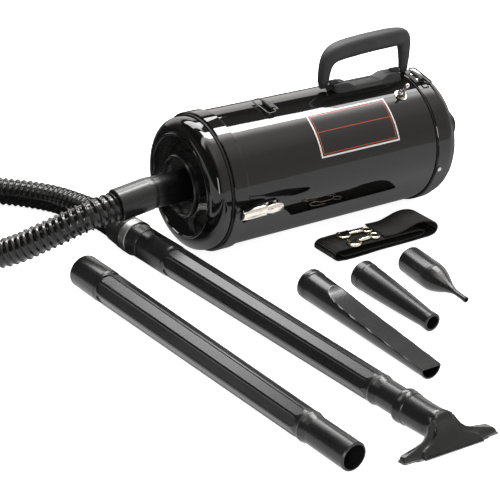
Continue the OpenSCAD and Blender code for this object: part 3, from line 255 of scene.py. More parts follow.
pitch = (hose_path.length - 1) / RIBS
outer = [tube_ring(hose_path, 0.5 + (i + f) * pitch, r)
         for i in range(RIBS) for f, r in RIB_PROFILE]
outer.append(tube_ring(hose_path, hose_path.length - 0.5, ROOT_R))
inner = [tube_ring(hose_path, s, BORE_R)
         for s in np.linspace(hose_path.length - 0.5, 0.5, 120)]
hose = add_piece("ribbed_hose", *loft(outer + inner, looped=True))
settle(hose, "hose_line", "ribbed_hose_plastic", "hose")
tuple(mm(*ROUTE[0]))
[tuple(mm(*hose_path.at(s))) for s in np.linspace(0, hose_path.length, 400)]

# %% [markdown]
# ## The shoulder strap
# Black webbing, folded over itself on the table. Its side view is a line that
# runs along the table, turns back at each end and finishes in a loose loop.
# The piece is a ribbon along that line: thin, with softly rounded edges.

# %% Webbing
WEB_W, WEB_T, WEB_Y = 44.0, 1.9, -113.5
WEB_LINE = [(207, 18.8), (232, 18.6), (244, 21.5), (256, 24.6), (270, 25.4), (284, 22.4),
            (294, 16.6), (297, 10.5), (294.5, 4.6), (286, 1.8), (272, 1.3), (200, 1.3),
            (138, 1.3), (129, 3), (124.6, 7.4), (125.6, 12.6), (131, 15.4), (140, 15.9),
            (200, 15.2), (240, 14.6), (262, 14), (271, 12.2), (274, 9.2), (270, 6.6),
            (262, 5.8), (200, 5.8), (138, 6)]
web_path = Path(smooth_line([np.array([x, WEB_Y, z]) for x, z in WEB_LINE], 8))


def web_ring(s):
    """The webbing's section at distance s: flat, with rounded edges."""
    c, d, _, _ = web_path.frame(s, 1.5)
    n = unit(np.cross(d, (0, 1, 0)))
    half, t = WEB_W / 2, WEB_T / 2
    outline = [(-half, 0), (-half + 0.5, t), (-half / 2, t), (0, t), (half / 2, t),
               (half - 0.5, t), (half, 0), (half - 0.5, -t), (half / 2, -t), (0, -t),
               (-half / 2, -t), (-half + 0.5, -t)]
    return [mm(*(c + np.array([0, w, 0]) + h * n)) for w, h in outline]


strap = add_piece("strap_webbing_woven",
                  *loft([web_ring(s) for s in np.arange(0, web_path.length, 2.0)]), sharp=50)
settle(strap, "strap", "woven_webbing", "strap_webbing")
print("strap: %.3f m of webbing" % (web_path.length / 1000))

# %% [markdown]
# ## The carrying handle
# The bail is one moulding: two legs that turn on pins and a thick grip that
# grows out of them through round corners. A row of stations gives the middle
# of the section, its half thickness and its half width, and a smooth curve
# through the stations makes the moulding's flowing corners.

# %% Bail
PIVOT_Z = 188.3
BAIL = [  # x, z, half thickness, half width
    (196.4, 183.6, 4.8, 1.8), (196.4, 184.6, 5.4, 3.6), (196.2, 188.3, 6.2, 5.4),
    (196.0, 193, 7.0, 7.0), (196.6, 200, 7.5, 7.8), (197.6, 208, 7.9, 8.4),
    (199.6, 216, 8.7, 9.2), (204.4, 224, 10.6, 10.2), (212, 229.4, 12.0, 11.2),
    (222, 232.0, 12.6, 11.9), (236, 233.6, 13.0, 12.0), (252, 234.8, 13.0, 12.0),
    (270, 235.8, 13.0, 12.0), (288, 236.4, 13.0, 12.0), (304, 236.6, 12.9, 11.8),
    (316, 236.2, 12.6, 10.6), (325, 233.4, 12.8, 9.0), (329.4, 226.6, 10.6, 8.0),
    (331.0, 217.6, 8.8, 7.4), (331.8, 206, 7.9, 6.3), (331.8, 196, 7.2, 5.0),
    (331.6, 188.3, 6.4, 4.7), (331.6, 184.6, 5.5, 3.6), (331.6, 183.6, 5.0, 1.8)]


def section_ring(centre, along, across, thick, wide, power=0.8, count=28):
    """A rounded section: thick in the plane of the piece, wide across it."""
    inward = unit(np.cross(across, along))
    return [mm(*(centre + u * wide * across + v * thick * inward))
            for u, v in (bulge(t, power) for t in turns(count))]


SIDEWAYS = np.array([0, 1, 0])
stations = smooth_line([np.array(b, float) for b in BAIL], 5)
rings = []
for i, (x, z, thick, wide) in enumerate(stations):
    before, after = stations[max(i - 1, 0)], stations[min(i + 1, len(stations) - 1)]
    along = unit(np.array([after[0] - before[0], 0, after[1] - before[1]]))
    rings.append(section_ring(np.array([x, 0, z]), along, SIDEWAYS, thick, wide))
bail = add_piece("carrying_bail", *loft(rings), sharp=60)
settle(bail, "handle", "matte_black_plastic", "handle_bail")

# %% [markdown]
# ## The handle's foot
# The foot is one moulding that straddles the canister. Its section changes
# along the tube: a boss at each end holds a screw, and a lower web between
# them has a sunk panel. The bosses' screw wells are short rims with screws
# inside, finished dark as painted shade in the wells.

# %% Handle foot
FOOT_MID, SCREW_OFF, SCREW_TOP = 264.0, 40.75, 8.0
FOOT = [  # distance from the middle, top over the tube, half width at the top, at the tube
    (0, 2.9, 13.0, 17.2), (19.8, 2.9, 13.0, 17.2), (20.4, 2.9, 13.0, 17.2),
    (23.5, 3.0, 12.8, 17.2), (32.5, 7.6, 11.2, 17.2), (34, 8.1, 10.8, 17.2),
    (48, 8.1, 10.6, 16.8), (52, 7.9, 10.0, 15.8), (54.6, 7.2, 8.6, 13.6),
    (55.8, 5.8, 6.4, 11.0)]
FOOT_FULL = [(-d, *rest) for d, *rest in FOOT[:0:-1]] + FOOT


def tube_top(y):
    """The tube's height over the table at a distance y from its middle."""
    return AXIS_Z + math.sqrt(TUBE_R ** 2 - y * y)


def foot_ring(offset, top, half_top, half_low):
    crown = AXIS_Z + TUBE_R + top
    panel = 0.9 if abs(offset) <= 19.9 else 0.0
    side = [(half_low, tube_top(half_low) + 0.1), (half_low - 0.3, tube_top(half_low) + 1.6),
            (half_top + 1.0, crown - 1.6), (half_top + 0.3, crown - 0.5), (half_top - 0.8, crown),
            (8.4, crown), (8.0, crown - panel), (0.5, crown - panel)]
    line = side + [(-y, z) for y, z in side[::-1]]
    line += [(y, tube_top(y) + 0.1) for y in np.linspace(-half_low + 2, half_low - 2, 9)]
    return [mm(FOOT_MID + offset, y, z) for y, z in line]


RIM = [(4.0, 0.1), (4.1, 0.5), (4.6, 0.7), (5.2, 0.6), (5.5, 0.1), (5.4, -0.6), (4.2, -0.6)]
KNUCKLE = [(58.0, 3.6), (57.6, 4.6), (46.0, 4.9), (44, 2.0)]  # distance, radius
foot_parts = [loft([foot_ring(*row) for row in FOOT_FULL])]
for way in (-1, 1):
    centre = np.array([FOOT_MID + way * SCREW_OFF, 0, AXIS_Z + TUBE_R + SCREW_TOP])
    circle = [[mm(*(centre + [r * math.cos(t), r * math.sin(t), z])) for r, z in RIM]
              for t in turns(28)]
    foot_parts.append(loft(circle, looped=True))
    foot_parts.append(loft([
        section_ring(np.array([FOOT_MID + way * x, 0, PIVOT_Z]), np.array([1, 0, 0]),
                     SIDEWAYS, r, r, 1.0) for x, r in KNUCKLE]))
foot = add_piece("handle_foot", *joined(foot_parts), sharp=40)
settle(foot, "machine", "matte_black_plastic", "handle_base")

# %% [markdown]
# ## The draw latches
# Each latch's lever is a pressed and plated shell: a wide, swollen part over
# the pivot and a narrower one that ends in a rounded tip. It is lofted along
# the canister over the CAD lever, on the same pivot, and the tip stays inside
# the CAD lever's reach.

# %% Latch levers
LATCHES = {"near": -8.5, "far": 188.5}
SHELL = [  # x, half width, height over the band
    (8.8, 5.4, 4.3), (9.0, 6.6, 5.2), (9.8, 7.1, 6.4), (12, 7.4, 7.3), (18, 7.6, 7.4),
    (28, 7.6, 7.3), (38, 7.4, 6.8), (43.0, 7.2, 6.4), (44.2, 6.6, 6.1), (45.2, 5.6, 6.2),
    (50, 6.4, 6.8), (57, 6.6, 6.9), (64, 6.2, 6.5), (68, 5.0, 5.9), (70, 3.6, 5.2),
    (70.9, 1.8, 4.2)]


PIVOT_X, PIVOT_HIGH, NOSE_R = 12.5, 4.0, 3.7


def on_canister(x, side, height, angle):
    """A point at a place along X, a distance sideways and a height over the bands."""
    a = math.radians(angle)
    out = np.array([0, -math.cos(a), math.sin(a)])
    round_ = np.array([0, math.sin(a), math.cos(a)])
    return np.array([x, 0, AXIS_Z]) + (BAND_R + height) * out + side * round_


def shell_floor(x):
    """The shell's underside: round at the pivot, and raised over the rivets."""
    if x < PIVOT_X:
        return PIVOT_HIGH - math.sqrt(max(NOSE_R ** 2 - (PIVOT_X - x) ** 2, 0))
    return np.interp(x, (43, 46), (0.6, 3.0))


def latch_shell(angle):
    rings = []
    for x, half, high in smooth_line([np.array(b, float) for b in SHELL], 4):
        open_ = min(max((x - 10) / 3, 0), 1) * min(max((43.5 - x) / 2, 0), 1)
        low = shell_floor(x)
        ring = []
        for t in turns(36):
            u = bulge(t, 0.7)[0]
            top = 0.8 + (high - 0.8) * (1 - 0.5 * abs(u) ** 4)
            groove = 0.9 * open_ * math.exp(-((u * half + 0.4) / 3.2) ** 4)
            up = max(top - groove, low) if math.sin(t) >= 0 else low
            ring.append(mm(*on_canister(x, u * half, up, angle)))
        rings.append(ring)
    return loft(rings)


for side, angle in LATCHES.items():
    shell = add_piece("latch_shell_" + side, *latch_shell(angle), sharp=50)
    settle(shell, "latch_" + side, "nickel_plate", "latch_lever_" + side)

# %% [markdown]
# ## The front cover
# A drawn steel cup: a straight skirt that enters the tube, a deep rounded
# shoulder, a low bead round the face and a flat face down to the port.

# %% Front cover
SKIRT_R, FACE_X, SHEET = 87.2, -26.5, 1.5
BEAD_R, PORT_R = 69, 38


def quarter(r0, x0, r1, x1, steps=22):
    """A quarter of an oval from one radius and place to another."""
    return [(r1 + (r0 - r1) * math.cos(t), x0 + (x1 - x0) * math.sin(t))
            for t in (math.pi / 2 * i / steps for i in range(steps + 1))]


cup = [(SKIRT_R, 12), (SKIRT_R, 2), (SKIRT_R, -4)] + quarter(SKIRT_R, -10, BEAD_R, FACE_X)
cup += [(r, FACE_X + x) for r, x in (
    (68.6, -0.5), (68.2, -0.85), (67.6, -0.9), (66.9, -0.7), (66.5, 0.1), (66.2, 1.1),
    (65.6, 1.5), (64.6, 1.6), (50, 1.6), (PORT_R, 1.6), (PORT_R, 3.1), (66, 3.1))]
cup += quarter(SKIRT_R - SHEET, -10, BEAD_R, FACE_X + SHEET)[::-1] + [(SKIRT_R - SHEET, 12)]
front = add_piece("drawn_cover", *loft(
    [[mm(x, -r * math.cos(t), AXIS_Z + r * math.sin(t)) for r, x in cup] for t in turns(240)],
    looped=True), sharp=40)
settle(front, "cover", "black_gloss_paint", "front_cover")

# %% [markdown]
# ## The latch hooks
# Each latch's hook is a thin strap that lies over the front band, curved as
# the band is, and turns down over the cover's edge beside the seal. It takes
# the black enamel as painted shade, for the plated hook in the lever's shadow.

# %% Latch hooks
HOOK_LINE = [(-0.9, -1.6), (-0.9, -0.6), (-0.7, 0.2), (-0.2, 0.6), (2, 0.7), (12, 0.8),
             (24, 1.3)]    # x, height over the band


def hook_strap(angle):
    rings = []
    for x, high in smooth_line([np.array(p, float) for p in HOOK_LINE], 4):
        half = np.interp(x, (-1, 3, 8), (6.0, 5.6, 4.6))
        down = high < 0.1
        ring = []
        for t in turns(16):
            u, v = half * math.cos(t), 0.4 * math.sin(t)
            sag = u * u / (2 * BAND_R)
            ring.append(mm(*on_canister(x + (v if down else 0), u,
                                        high - sag + (0 if down else v), angle)))
        rings.append(ring)
    return loft(rings)


for side, angle in LATCHES.items():
    strip = add_piece("hook_strap_" + side, *hook_strap(angle), sharp=50)
    # Painted shade: the hook gets the black enamel for the shadow that it lies in under the
    # lever.
    settle(strip, "hook_" + side, "black_gloss_paint", "latch_hook_" + side)

# %% [markdown]
# ## The strap rings
# A bent wire stands in the rolled edge of each clip. The wire is a looped row
# of round rings along a rectangle with rounded corners. It takes the black
# enamel as a painted dark reflection, for the dark surroundings that the
# plated wire mirrors.

# %% Strap rings
RINGS = {"front": (103.5, 82, TUBE_R, -1), "rear": (334.6, 76.5, BAND_R, 1)}
RING_W, RING_REACH, RING_LIFT = 40.0, 12.0, 2.8


def wire_loop(x, angle, base_r, way, wire=1.05, corner=3.6):
    """A ring's middle line, laid on the tube, and the wire round it."""
    drop = math.asin((RING_LIFT - 1.8) / RING_REACH)
    far, wide = RING_REACH - corner, RING_W / 2 - corner
    line = []
    for cx, cy, start in ((far, wide, 0), (corner, wide, 90), (corner, -wide, 180),
                          (far, -wide, 270)):
        for k in range(7):
            t = math.radians(start + 15 * k)
            line.append((cx + corner * math.cos(t), cy + corner * math.sin(t)))
    a = math.radians(angle)
    out = np.array([0, -math.cos(a), math.sin(a)])
    round_ = np.array([0, math.sin(a), math.cos(a)])
    start = np.array([x + way * 4.5, 0, AXIS_Z]) + (base_r + RING_LIFT) * out
    path = [start + way * np.array([u * math.cos(drop), 0, 0]) - u * math.sin(drop) * out
            + v * round_ for u, v in line]
    rings = []
    for i, c in enumerate(path):
        d = unit(path[(i + 1) % len(path)] - path[i - 1])
        side = unit(np.cross(d, out))
        up = np.cross(side, d)
        rings.append([mm(*(c + wire * (math.cos(t) * side + math.sin(t) * up)))
                      for t in turns(10)])
    return loft(rings, looped=True)


for side, spec in RINGS.items():
    ring = add_piece("wire_loop_" + side, *wire_loop(*spec), sharp=60)
    # Painted reflection: the wire gets the black enamel for the dark surroundings that it
    # mirrors.
    settle(ring, "ring_" + side, "black_gloss_paint", side + "_ring")

# %% [markdown]
# ## The rear clip's rivets
# Two bright rivet heads hold the rear clip. Each is a low dome: five rings
# that shrink as they rise.

# %% Clip rivets
CLIP_X, CLIP_ANGLE = 334.6, 76.5
HEAD = [(2.5, 1.2), (2.45, 1.9), (2.1, 2.5), (1.3, 2.95), (0.3, 3.1)]  # radius, height


def rivet(across):
    return loft([[mm(*on_canister(CLIP_X + r * math.cos(t), across + r * math.sin(t), h,
                                  CLIP_ANGLE)) for t in turns(20)] for r, h in HEAD])


heads = add_piece("clip_rivet_heads", *joined([rivet(-6.5), rivet(6.5)]), sharp=60)
settle(heads, "machine", "nickel_plate")

# %% [markdown]
# ## The snap hooks
# A snap hook is cast and then plated: a ring for the webbing, a stem, and a
# round hook whose mouth a small gate closes. Each is three tapering rods, one
# bent to a ring, one straight and one bent to three quarters of a ring.

# %% Snap hooks
HOOKS = {"left": (187.5, -127.5, 186), "right": (189.5, -106.5, 177)}
HOOK_Z = 17.1


def bar(path, radii, count=12, looped=False):
    """A rod of changing radius along a row of points."""
    rings = []
    for i, c in enumerate(path):
        before = path[i - 1] if looped or i else path[0]
        after = path[(i + 1) % len(path)] if looped or i + 1 < len(path) else path[-1]
        d = unit(after - before)
        side = unit(np.cross(d, (0, 0, 1)))
        up = np.cross(side, d)
        rings.append([mm(*(c + radii[i] * (math.cos(t) * side + math.sin(t) * up)))
                      for t in turns(count)])
    return loft(rings, looped=looped)


def snap_hook(x, y, turn):
    """Ring, stem and bend of one snap hook, turned about its place."""
    a = math.radians(turn)

    def at(u, v, h=2.3):
        return np.array([x + u * math.cos(a) - v * math.sin(a),
                         y + u * math.sin(a) + v * math.cos(a), HOOK_Z + h])

    eye = [at(-8 + 6.4 * math.cos(t), 6.4 * math.sin(t), 2.0)
           for t in np.linspace(0, 2 * math.pi, 24, endpoint=False)]
    stem = [at(u, 0.3 * math.sin(u / 3)) for u in np.linspace(-2.2, 21.6, 9)]
    stem_r = [1.9, 2.5, 2.9, 2.6, 2.9, 2.6, 2.3, 2.2, 2.0]
    bend = [at(29 + 8.0 * math.cos(t), 8.0 * math.sin(t))
            for t in np.radians(np.linspace(183, -88, 22))]
    bend_r = [2.0] * 17 + [2.1, 2.2, 2.2, 1.9, 1.0]
    return joined([bar(eye, [1.6] * 24, looped=True), bar(stem, stem_r), bar(bend, bend_r)])


for side, (x, y, turn) in HOOKS.items():
    hook = add_piece("cast_hook_" + side, *snap_hook(x, y, turn), sharp=50)
    settle(hook, "strap", "pale_gold_plate", "snap_hook_" + side)

# %% [markdown]
# ## The crevice tool
# A pipe narrows to a flat mouth, and a long scoop is cut off its top. Each
# ring is a circle whose upper part is held under a height that falls along
# the tool, so the scoop's edge is a smooth curve. Rings of the same kind
# come back inside, one wall in.

# %% Crevice tool
CREVICE_X, CREVICE_Y, CREVICE_WALL, SCOOP_START = 39.7, -197, 1.7, 43
PIPE_R = [(0, 19.6), (10, 19.6), (11, 19.0), (46, 18.2), (90, 16.9), (230, 14.0)]
SCOOP = [(43, 38.5), (47, 35.2), (52, 32.4), (60, 29.9), (72, 27.6), (90, 25.4), (120, 22.9),
         (160, 20.0), (200, 17.2), (230, 15.2)]
scoop_curve = smooth_line([np.array(p, float) for p in SCOOP], 6)


def squeeze(across, chord, edge, over):
    """Spreads the part of a ring over the scoop across the scoop's flat edge."""
    spread = abs(across) / max(chord, 1e-3) * edge * (1 - over) ** 0.5
    return math.copysign(min(spread, edge), across)


def crevice_ring(x, inset, count=64):
    middle = np.interp(x, *zip(*PIPE_R))
    r = middle - inset
    roof = 99 if x < SCOOP_START else np.interp(x, scoop_curve[:, 0], scoop_curve[:, 1]) - inset
    ring = []
    for t in turns(count, 0.5):
        across, up = r * math.cos(t), middle + r * math.sin(t)
        if up > roof:
            over = (up - roof) / max(r + middle - roof, 0.1)
            edge = math.sqrt(max(r * r - (roof - middle) ** 2, 1))
            chord = math.sqrt(max(r * r - (up - middle) ** 2, 1e-6))
            across, up = squeeze(across, chord, edge, over), roof
        ring.append(mm(CREVICE_X + across, CREVICE_Y - x, 0.1 + up))
    return ring


steps = np.unique(np.concatenate([[0.0, 0.6, 9.6, 10.4, 11], np.linspace(20, 43, 4),
                                  np.linspace(43, 72, 24), np.linspace(72, 230, 30)]))
outer = [crevice_ring(x, 0.5 if x == 0 else 0.0) for x in steps]
inner = [crevice_ring(x, CREVICE_WALL if x > 44 else 2.5) for x in steps[::-1] if x != 0.6]
crevice = add_piece("crevice_scoop", *loft(outer + inner, looped=True), sharp=35)
settle(crevice, "crevice", "satin_black_plastic", "crevice_tool")

# %% [markdown]
# ## The floor nozzle
# A round neck bends down and spreads into a fan with a flat face and a crisp
# edge. Each section is a rounded oblong between a point on the face and a
# point underneath, and it grows squarer and wider toward the lip. Small teeth
# stand along the lip's front.

# %% Floor nozzle
WAND_LEN, GRIP, LIP_HALF, TEETH = 503, 31, 61.5, 24
NECK_Z = 22.8 + (WAND_LEN - GRIP + 20) * float(WAND_DIR[2])
FAN = [  # face point, lower point, half width, power, raised face's share, how stepped
    (0, 19, 0, -19, 19, 1, 1, 0), (0.8, 19.6, 0.8, -19.6, 19.6, 1, 1, 0),
    (5, 19.6, 5, -19.6, 19.6, 1, 1, 0), (6, 19, 6, -19, 19, 1, 1, 0),
    (12, 19, 12, -19, 19, 1, 1, 0), (13, 18.2, 13, -18.2, 18.2, 1, 1, 0),
    (34, 17.5, 34, -17.5, 17.5, 1, 1, 0), (46, 17.5, 42, -17.2, 17.5, 1, 1, 0),
    (52.6, 16.8, 45, -16, 17.6, 0.9, 0.86, 0.1), (55.4, 14.4, 46.2, -14.8, 17.8, 0.66, 0.7, 0.6),
    (57.4, 9.4, 47.6, -14.4, 19.2, 0.5, 0.6, 1), (59.6, 3.2, 49.4, -13.8, 22, 0.42, 0.56, 1),
    (62.0, -2.6, 51.2, -13.4, 27, 0.38, 0.56, 1), (64.4, -7.0, 53, -13.4, 37, 0.34, 0.56, 1),
    (66.8, -10.2, 54.8, -13.6, 49.5, 0.3, 0.6, 1), (68.9, -12.8, 56.2, -14.2, 58, 0.27, 0.62, 1),
    (70.4, -15.2, 57.2, -15.2, LIP_HALF - 1.6, 0.24, 0.62, 1),
    (71.2, -17.4, 57.4, -17.4, LIP_HALF - 1.2, 0.22, 0.62, 1),
    (71.5, -18.3, 57.2, -18.3, LIP_HALF - 1.0, 0.2, 0.62, 1),
    (72.3, -18.6, 56, -18.6, LIP_HALF, 0.2, 0.62, 0.55),
    (72.4, -19.6, 55.6, -19.6, LIP_HALF, 0.2, 0.62, 0.5)]
STEP = [  # from the side to the middle: place on the foot or face, height
    (1, 0), (1, 0.35), (0.995, 0.5), (0.97, 0.57), (0.9, 0.6), (0.75, 0.61), (0.5, 0.62),
    (0.06, 0.64), (0.02, 0.68), (0, 0.94), (-0.02, 0.98), (-0.06, 1), (-0.4, 1), (-0.7, 1),
    (-1, 1)]
LIP_YAW, NECK_END = math.radians(-6.4), 40
fan_foot = np.array([*(WAND_START + (WAND_LEN - GRIP) * WAND_DIR)[:2], 0])


def level_axes(angle):
    """Level directions ahead and to the side at an angle."""
    c, s = math.cos(angle), math.sin(angle)
    return np.array([c, s, 0]), np.array([-s, c, 0])


def fan_point(x, y, z):
    """A point of the nozzle, whose lip is turned a little about its neck."""
    straight, _ = level_axes(WAND_TURN)
    ahead, side = level_axes(WAND_TURN + LIP_YAW * np.interp(x, (44, 68), (0, 1)))
    y += np.interp(x, (44, 70), (0, 7))
    return mm(*(fan_foot + NECK_END * straight + (x - NECK_END) * ahead + y * side
                + np.array([0, 0, z])))


def fan_ring(row, inset, count=56):
    """One section: round or boxy, with a raised face where it is stepped."""
    tx, tz, lx, lz, half, power, share, stepped = row
    face, low = np.array([tx, tz + NECK_Z]), np.array([lx, lz + NECK_Z])
    if inset:
        pull = (face - low) / np.linalg.norm(face - low) * inset
        face, low = face - pull, low + pull
    middle, arm = (face + low) / 2, (face - low) / 2
    ring = []
    for j, t in enumerate(turns(count)):
        u, v = bulge(t, power)
        if j <= count // 2:
            a, b = STEP[min(j, count // 2 - j)]
            a = share + a * (1 - share) if a >= 0 else share * (1 + a)
            if j > count // 4:
                a = -a
            u, v = u + stepped * (a - u), v + stepped * (b - v)
        x, z = middle + v * arm
        ring.append(fan_point(x, (half - inset) * u, z))
    return ring


def tooth(y):
    """One tooth on the lip's front, as three shrinking sections."""
    outline = ((-1, 0), (1, 0), (1, 0.7), (0.5, 1), (-0.5, 1), (-1, 0.7))
    return loft([[fan_point(x, y + a * wide, 0.3 + b * tall) for a, b in outline]
                 for x, wide, tall in ((71.0, 0.9, 3.0), (73.8, 0.9, 2.8), (75.0, 0.5, 1.8))])


fan = loft([fan_ring(row, 0) for row in FAN] + [fan_ring(row, 2.2) for row in FAN[::-1]],
           looped=True)
teeth = [tooth((i / (TEETH - 1) - 0.5) * 1.2 * LIP_HALF) for i in range(TEETH)]
nozzle = add_piece("fan_nozzle", *joined([fan] + teeth), sharp=34)
settle(nozzle, "nozzle", "satin_black_plastic", "floor_nozzle")

# %% [markdown]
# ## The clamp band
# A bright metal band clamps the hose's far end. It is rolled strip, so its
# edges curl a little and a low bead runs round its middle.

# %% Clamp band
STRIP = [(-38.6, 22.2), (-38.4, 23.0), (-37.6, 23.4), (-36.6, 23.1), (-33, 23.1), (-32, 23.35),
         (-31, 23.1), (-27.4, 23.1), (-26.4, 23.4), (-25.6, 23.0), (-25.4, 22.2), (-32, 22.0)]
wand_side = unit(np.cross(WAND_DIR, (0, 0, 1)))
wand_up = np.cross(wand_side, WAND_DIR)
band_rings = [[mm(*(WAND_START + s * WAND_DIR + r * (math.cos(t) * wand_side
                                                     + math.sin(t) * wand_up)))
               for s, r in STRIP] for t in turns(72)]
clamp_band = add_piece("clamp_band", *loft(band_rings, looped=True), sharp=60)
settle(clamp_band, "hose_line", "silver_band", "hose_end_band")

# %% [markdown]
# ## The paper bag
# The dust bag hangs inside the canister from its card collar. It is a tube of
# filter paper whose far end is gathered, so its radius carries small pleats
# that grow toward that end.

# %% Bag
BAG = [(7.2, 27, 0), (8.4, 42, 0.1), (14, 56, 0.3), (24, 64.5, 0.5), (38, 67, 0.6),
       (70, 67.4, 0.7), (100, 67.2, 0.9), (122, 66, 1.4), (134, 60, 2.4), (142, 48, 2.8),
       (147, 30, 2.2), (148.6, 12, 1.0)]


def bag_ring(x, r, pleat, inset=0.0, count=96):
    ring = []
    for t in turns(count):
        radius = r - inset + pleat * math.cos(16 * t + 0.7 * math.sin(3 * t)) - pleat
        ring.append(mm(x, radius * math.cos(t), AXIS_Z + radius * math.sin(t)))
    return ring


bag_line = smooth_line([np.array(b, float) for b in BAG], 4)
outside = [bag_ring(x, r, pleat) for x, r, pleat in bag_line]
inside = [bag_ring(x - 0.3, r, pleat, 0.4) for x, r, pleat in bag_line[::-1]]
bag = add_piece("paper_dust_bag", *loft(outside + inside, looped=True), sharp=60)
settle(bag, "cover", "bag_paper", "dust_bag")

# %% [markdown]
# ## Shader sums
# A finish is a small sum over the surface: a mask times a colour, a noise
# added to a roughness. `Wire` wraps one socket, so that such a sum can be
# written as Python, and `node` adds any other node by its type. `Finish` holds
# one material's tree and the few moves that every finish here needs.

# %% Wires and nodes


def set_stops(ramp, stops):
    """Fills a colour ramp with places and grey levels."""
    while len(ramp.elements) < len(stops):
        ramp.elements.new(0.5)
    for stop, (place, level) in zip(ramp.elements, stops):
        stop.position = place
        stop.color = (level, level, level, 1)


def node(tree, kind, settings=None, inputs=None, out=0):
    """Adds a node, sets it, fills its sockets, and returns one output as a Wire."""
    made = tree.nodes.new(kind)
    for key, value in (settings or {}).items():
        if key == "stops":
            set_stops(made.color_ramp, value)
        else:
            setattr(made, key, value)
    for key, value in (inputs or {}).items():
        if isinstance(value, Wire):
            tree.links.new(value.socket, made.inputs[key])
        else:
            made.inputs[key].default_value = value
    return Wire(tree, made.outputs[out]) if made.outputs else None


class Wire:
    """One socket whose sums add Math nodes."""

    def __init__(self, tree, socket):
        self.tree, self.socket = tree, socket

    def math(self, operation, *values):
        return node(self.tree, "ShaderNodeMath", {"operation": operation},
                    dict(enumerate(values)))

    def __add__(self, other):
        return self.math("ADD", self, other)

    def __sub__(self, other):
        return self.math("SUBTRACT", self, other)

    def __rsub__(self, other):
        return self.math("SUBTRACT", other, self)

    def __mul__(self, other):
        return self.math("MULTIPLY", self, other)

    def __pow__(self, other):
        return self.math("POWER", self, other)

    def __rpow__(self, other):
        return self.math("POWER", other, self)

    __radd__, __rmul__ = __add__, __mul__

    def least(self, other):
        return self.math("MINIMUM", self, other)

    def sine(self):
        return self.math("SINE", self)

    def above(self, edge):
        return self.math("GREATER_THAN", self, edge)

    def below(self, edge):
        return self.math("LESS_THAN", self, edge)

    def fade(self, low, high):
        """0 at low and below, 1 at high and above, smooth between."""
        return node(self.tree, "ShaderNodeMapRange", {"interpolation_type": "SMOOTHSTEP"},
                    {0: self, 1: low, 2: high})


def split_xyz(tree, vector):
    """A vector's three parts as wires."""
    first = node(tree, "ShaderNodeSeparateXYZ", None, {0: vector})
    return [Wire(tree, output) for output in first.socket.node.outputs]


class Finish:
    """One material: its tree, its surface coordinates and its output."""

    def __init__(self, name):
        self.material = bpy.data.materials.new(name)
        self.material.use_nodes = True
        self.tree = self.material.node_tree
        self.tree.nodes.clear()

    def node(self, kind, settings=None, inputs=None, out=0):
        return node(self.tree, kind, settings, inputs, out)

    def place(self):
        """The point on the piece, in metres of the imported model."""
        return self.node("ShaderNodeTexCoord", out="Object")

    def xyz(self):
        return split_xyz(self.tree, self.place())

    def noise(self, scale, detail=2.0, rough=0.5):
        return self.node("ShaderNodeTexNoise", None,
                         {"Vector": self.place(), "Scale": scale,
                          "Detail": detail, "Roughness": rough})

    def mix(self, factor, a, b):
        """Colour a where factor is 0, colour b where it is 1."""
        a, b = ((*c, 1) if isinstance(c, tuple) else c for c in (a, b))
        return self.node("ShaderNodeMix", {"data_type": "RGBA"}, {0: factor, 6: a, 7: b},
                         out=2)

    def bump(self, height, depth, strength=1.0):
        """A normal from a height of 0 to 1 that stands depth metres tall."""
        return self.node("ShaderNodeBump", None,
                         {"Height": height, "Distance": depth, "Strength": strength})

    def shader(self, **sockets):
        """The surface shader, with values or wires for its sockets."""
        return self.node("ShaderNodeBsdfPrincipled", None, {
            key.replace("_", " "): (*value, 1) if isinstance(value, tuple) else value
            for key, value in sockets.items()})

    def give(self, surface):
        """Joins a shader to the output and returns the material."""
        self.node("ShaderNodeOutputMaterial", None, {0: surface})
        return self.material

    def paint(self, **sockets):
        return self.give(self.shader(**sockets))


# %% [markdown]
# ## Gloss black enamel
# The canister is sprayed steel: near black, mirror smooth, with the faint
# waviness of sprayed paint that makes straight reflections wander a little.

# %% Enamel


def gloss_enamel():
    f = Finish("gloss_black_enamel")
    wave = f.noise(14.0, 1.0)
    peel = f.noise(420.0, 1.0)
    dust = f.noise(90.0, 3.0, 0.7)
    return f.paint(Base_Color=(0.0055, 0.0052, 0.005), IOR=1.5,
                   Roughness=0.035 + 0.05 * dust.fade(0.55, 0.8),
                   Normal=f.bump(wave * 0.9 + peel * 0.02, 0.0012, 0.35))


# %% [markdown]
# ## Moulded black plastics
# The wands and tools are polished mouldings with a soft gloss, the hose is a
# wetter gloss, and the handle is textured so that it hardly shines.

# %% Plastics


def satin_plastic():
    f = Finish("satin_black_plastic")
    grain = f.noise(900.0, 2.0)
    flow = f.noise(22.0, 2.0)
    shade = 0.011
    return f.paint(Base_Color=f.mix(flow.fade(0.3, 0.7), (shade, shade, shade * 1.02),
                                    (shade * 1.3, shade * 1.28, shade * 1.25)),
                   Roughness=0.22 + 0.08 * flow, IOR=1.5,
                   Normal=f.bump(grain, 0.00002, 0.2))


def textured_plastic():
    f = Finish("textured_black_plastic")
    grain = f.noise(1500.0, 3.0, 0.6)
    rub = f.noise(35.0, 3.0)
    return f.paint(Base_Color=f.mix(rub.fade(0.35, 0.75), (0.020, 0.020, 0.021),
                                    (0.030, 0.030, 0.031)),
                   Roughness=0.5 + 0.14 * grain, IOR=1.48,
                   Normal=f.bump(grain, 0.0002, 0.6))


def hose_plastic():
    f = Finish("ribbed_hose_plastic")
    film = f.noise(60.0, 2.0)
    return f.paint(Base_Color=(0.006, 0.0058, 0.0055), Roughness=0.06 + 0.10 * film, IOR=1.5)


# %% [markdown]
# ## The port cuff
# The cuff on the port carries painted shade where it enters the cover: it turns
# near black and barely glossy there, for the shade in the port, and its shader
# blends along the canister into a soft gloss outside.

# %% Cuff
CUFF_GLOSSY_X, CUFF_SHADE_X = -0.187, -0.166


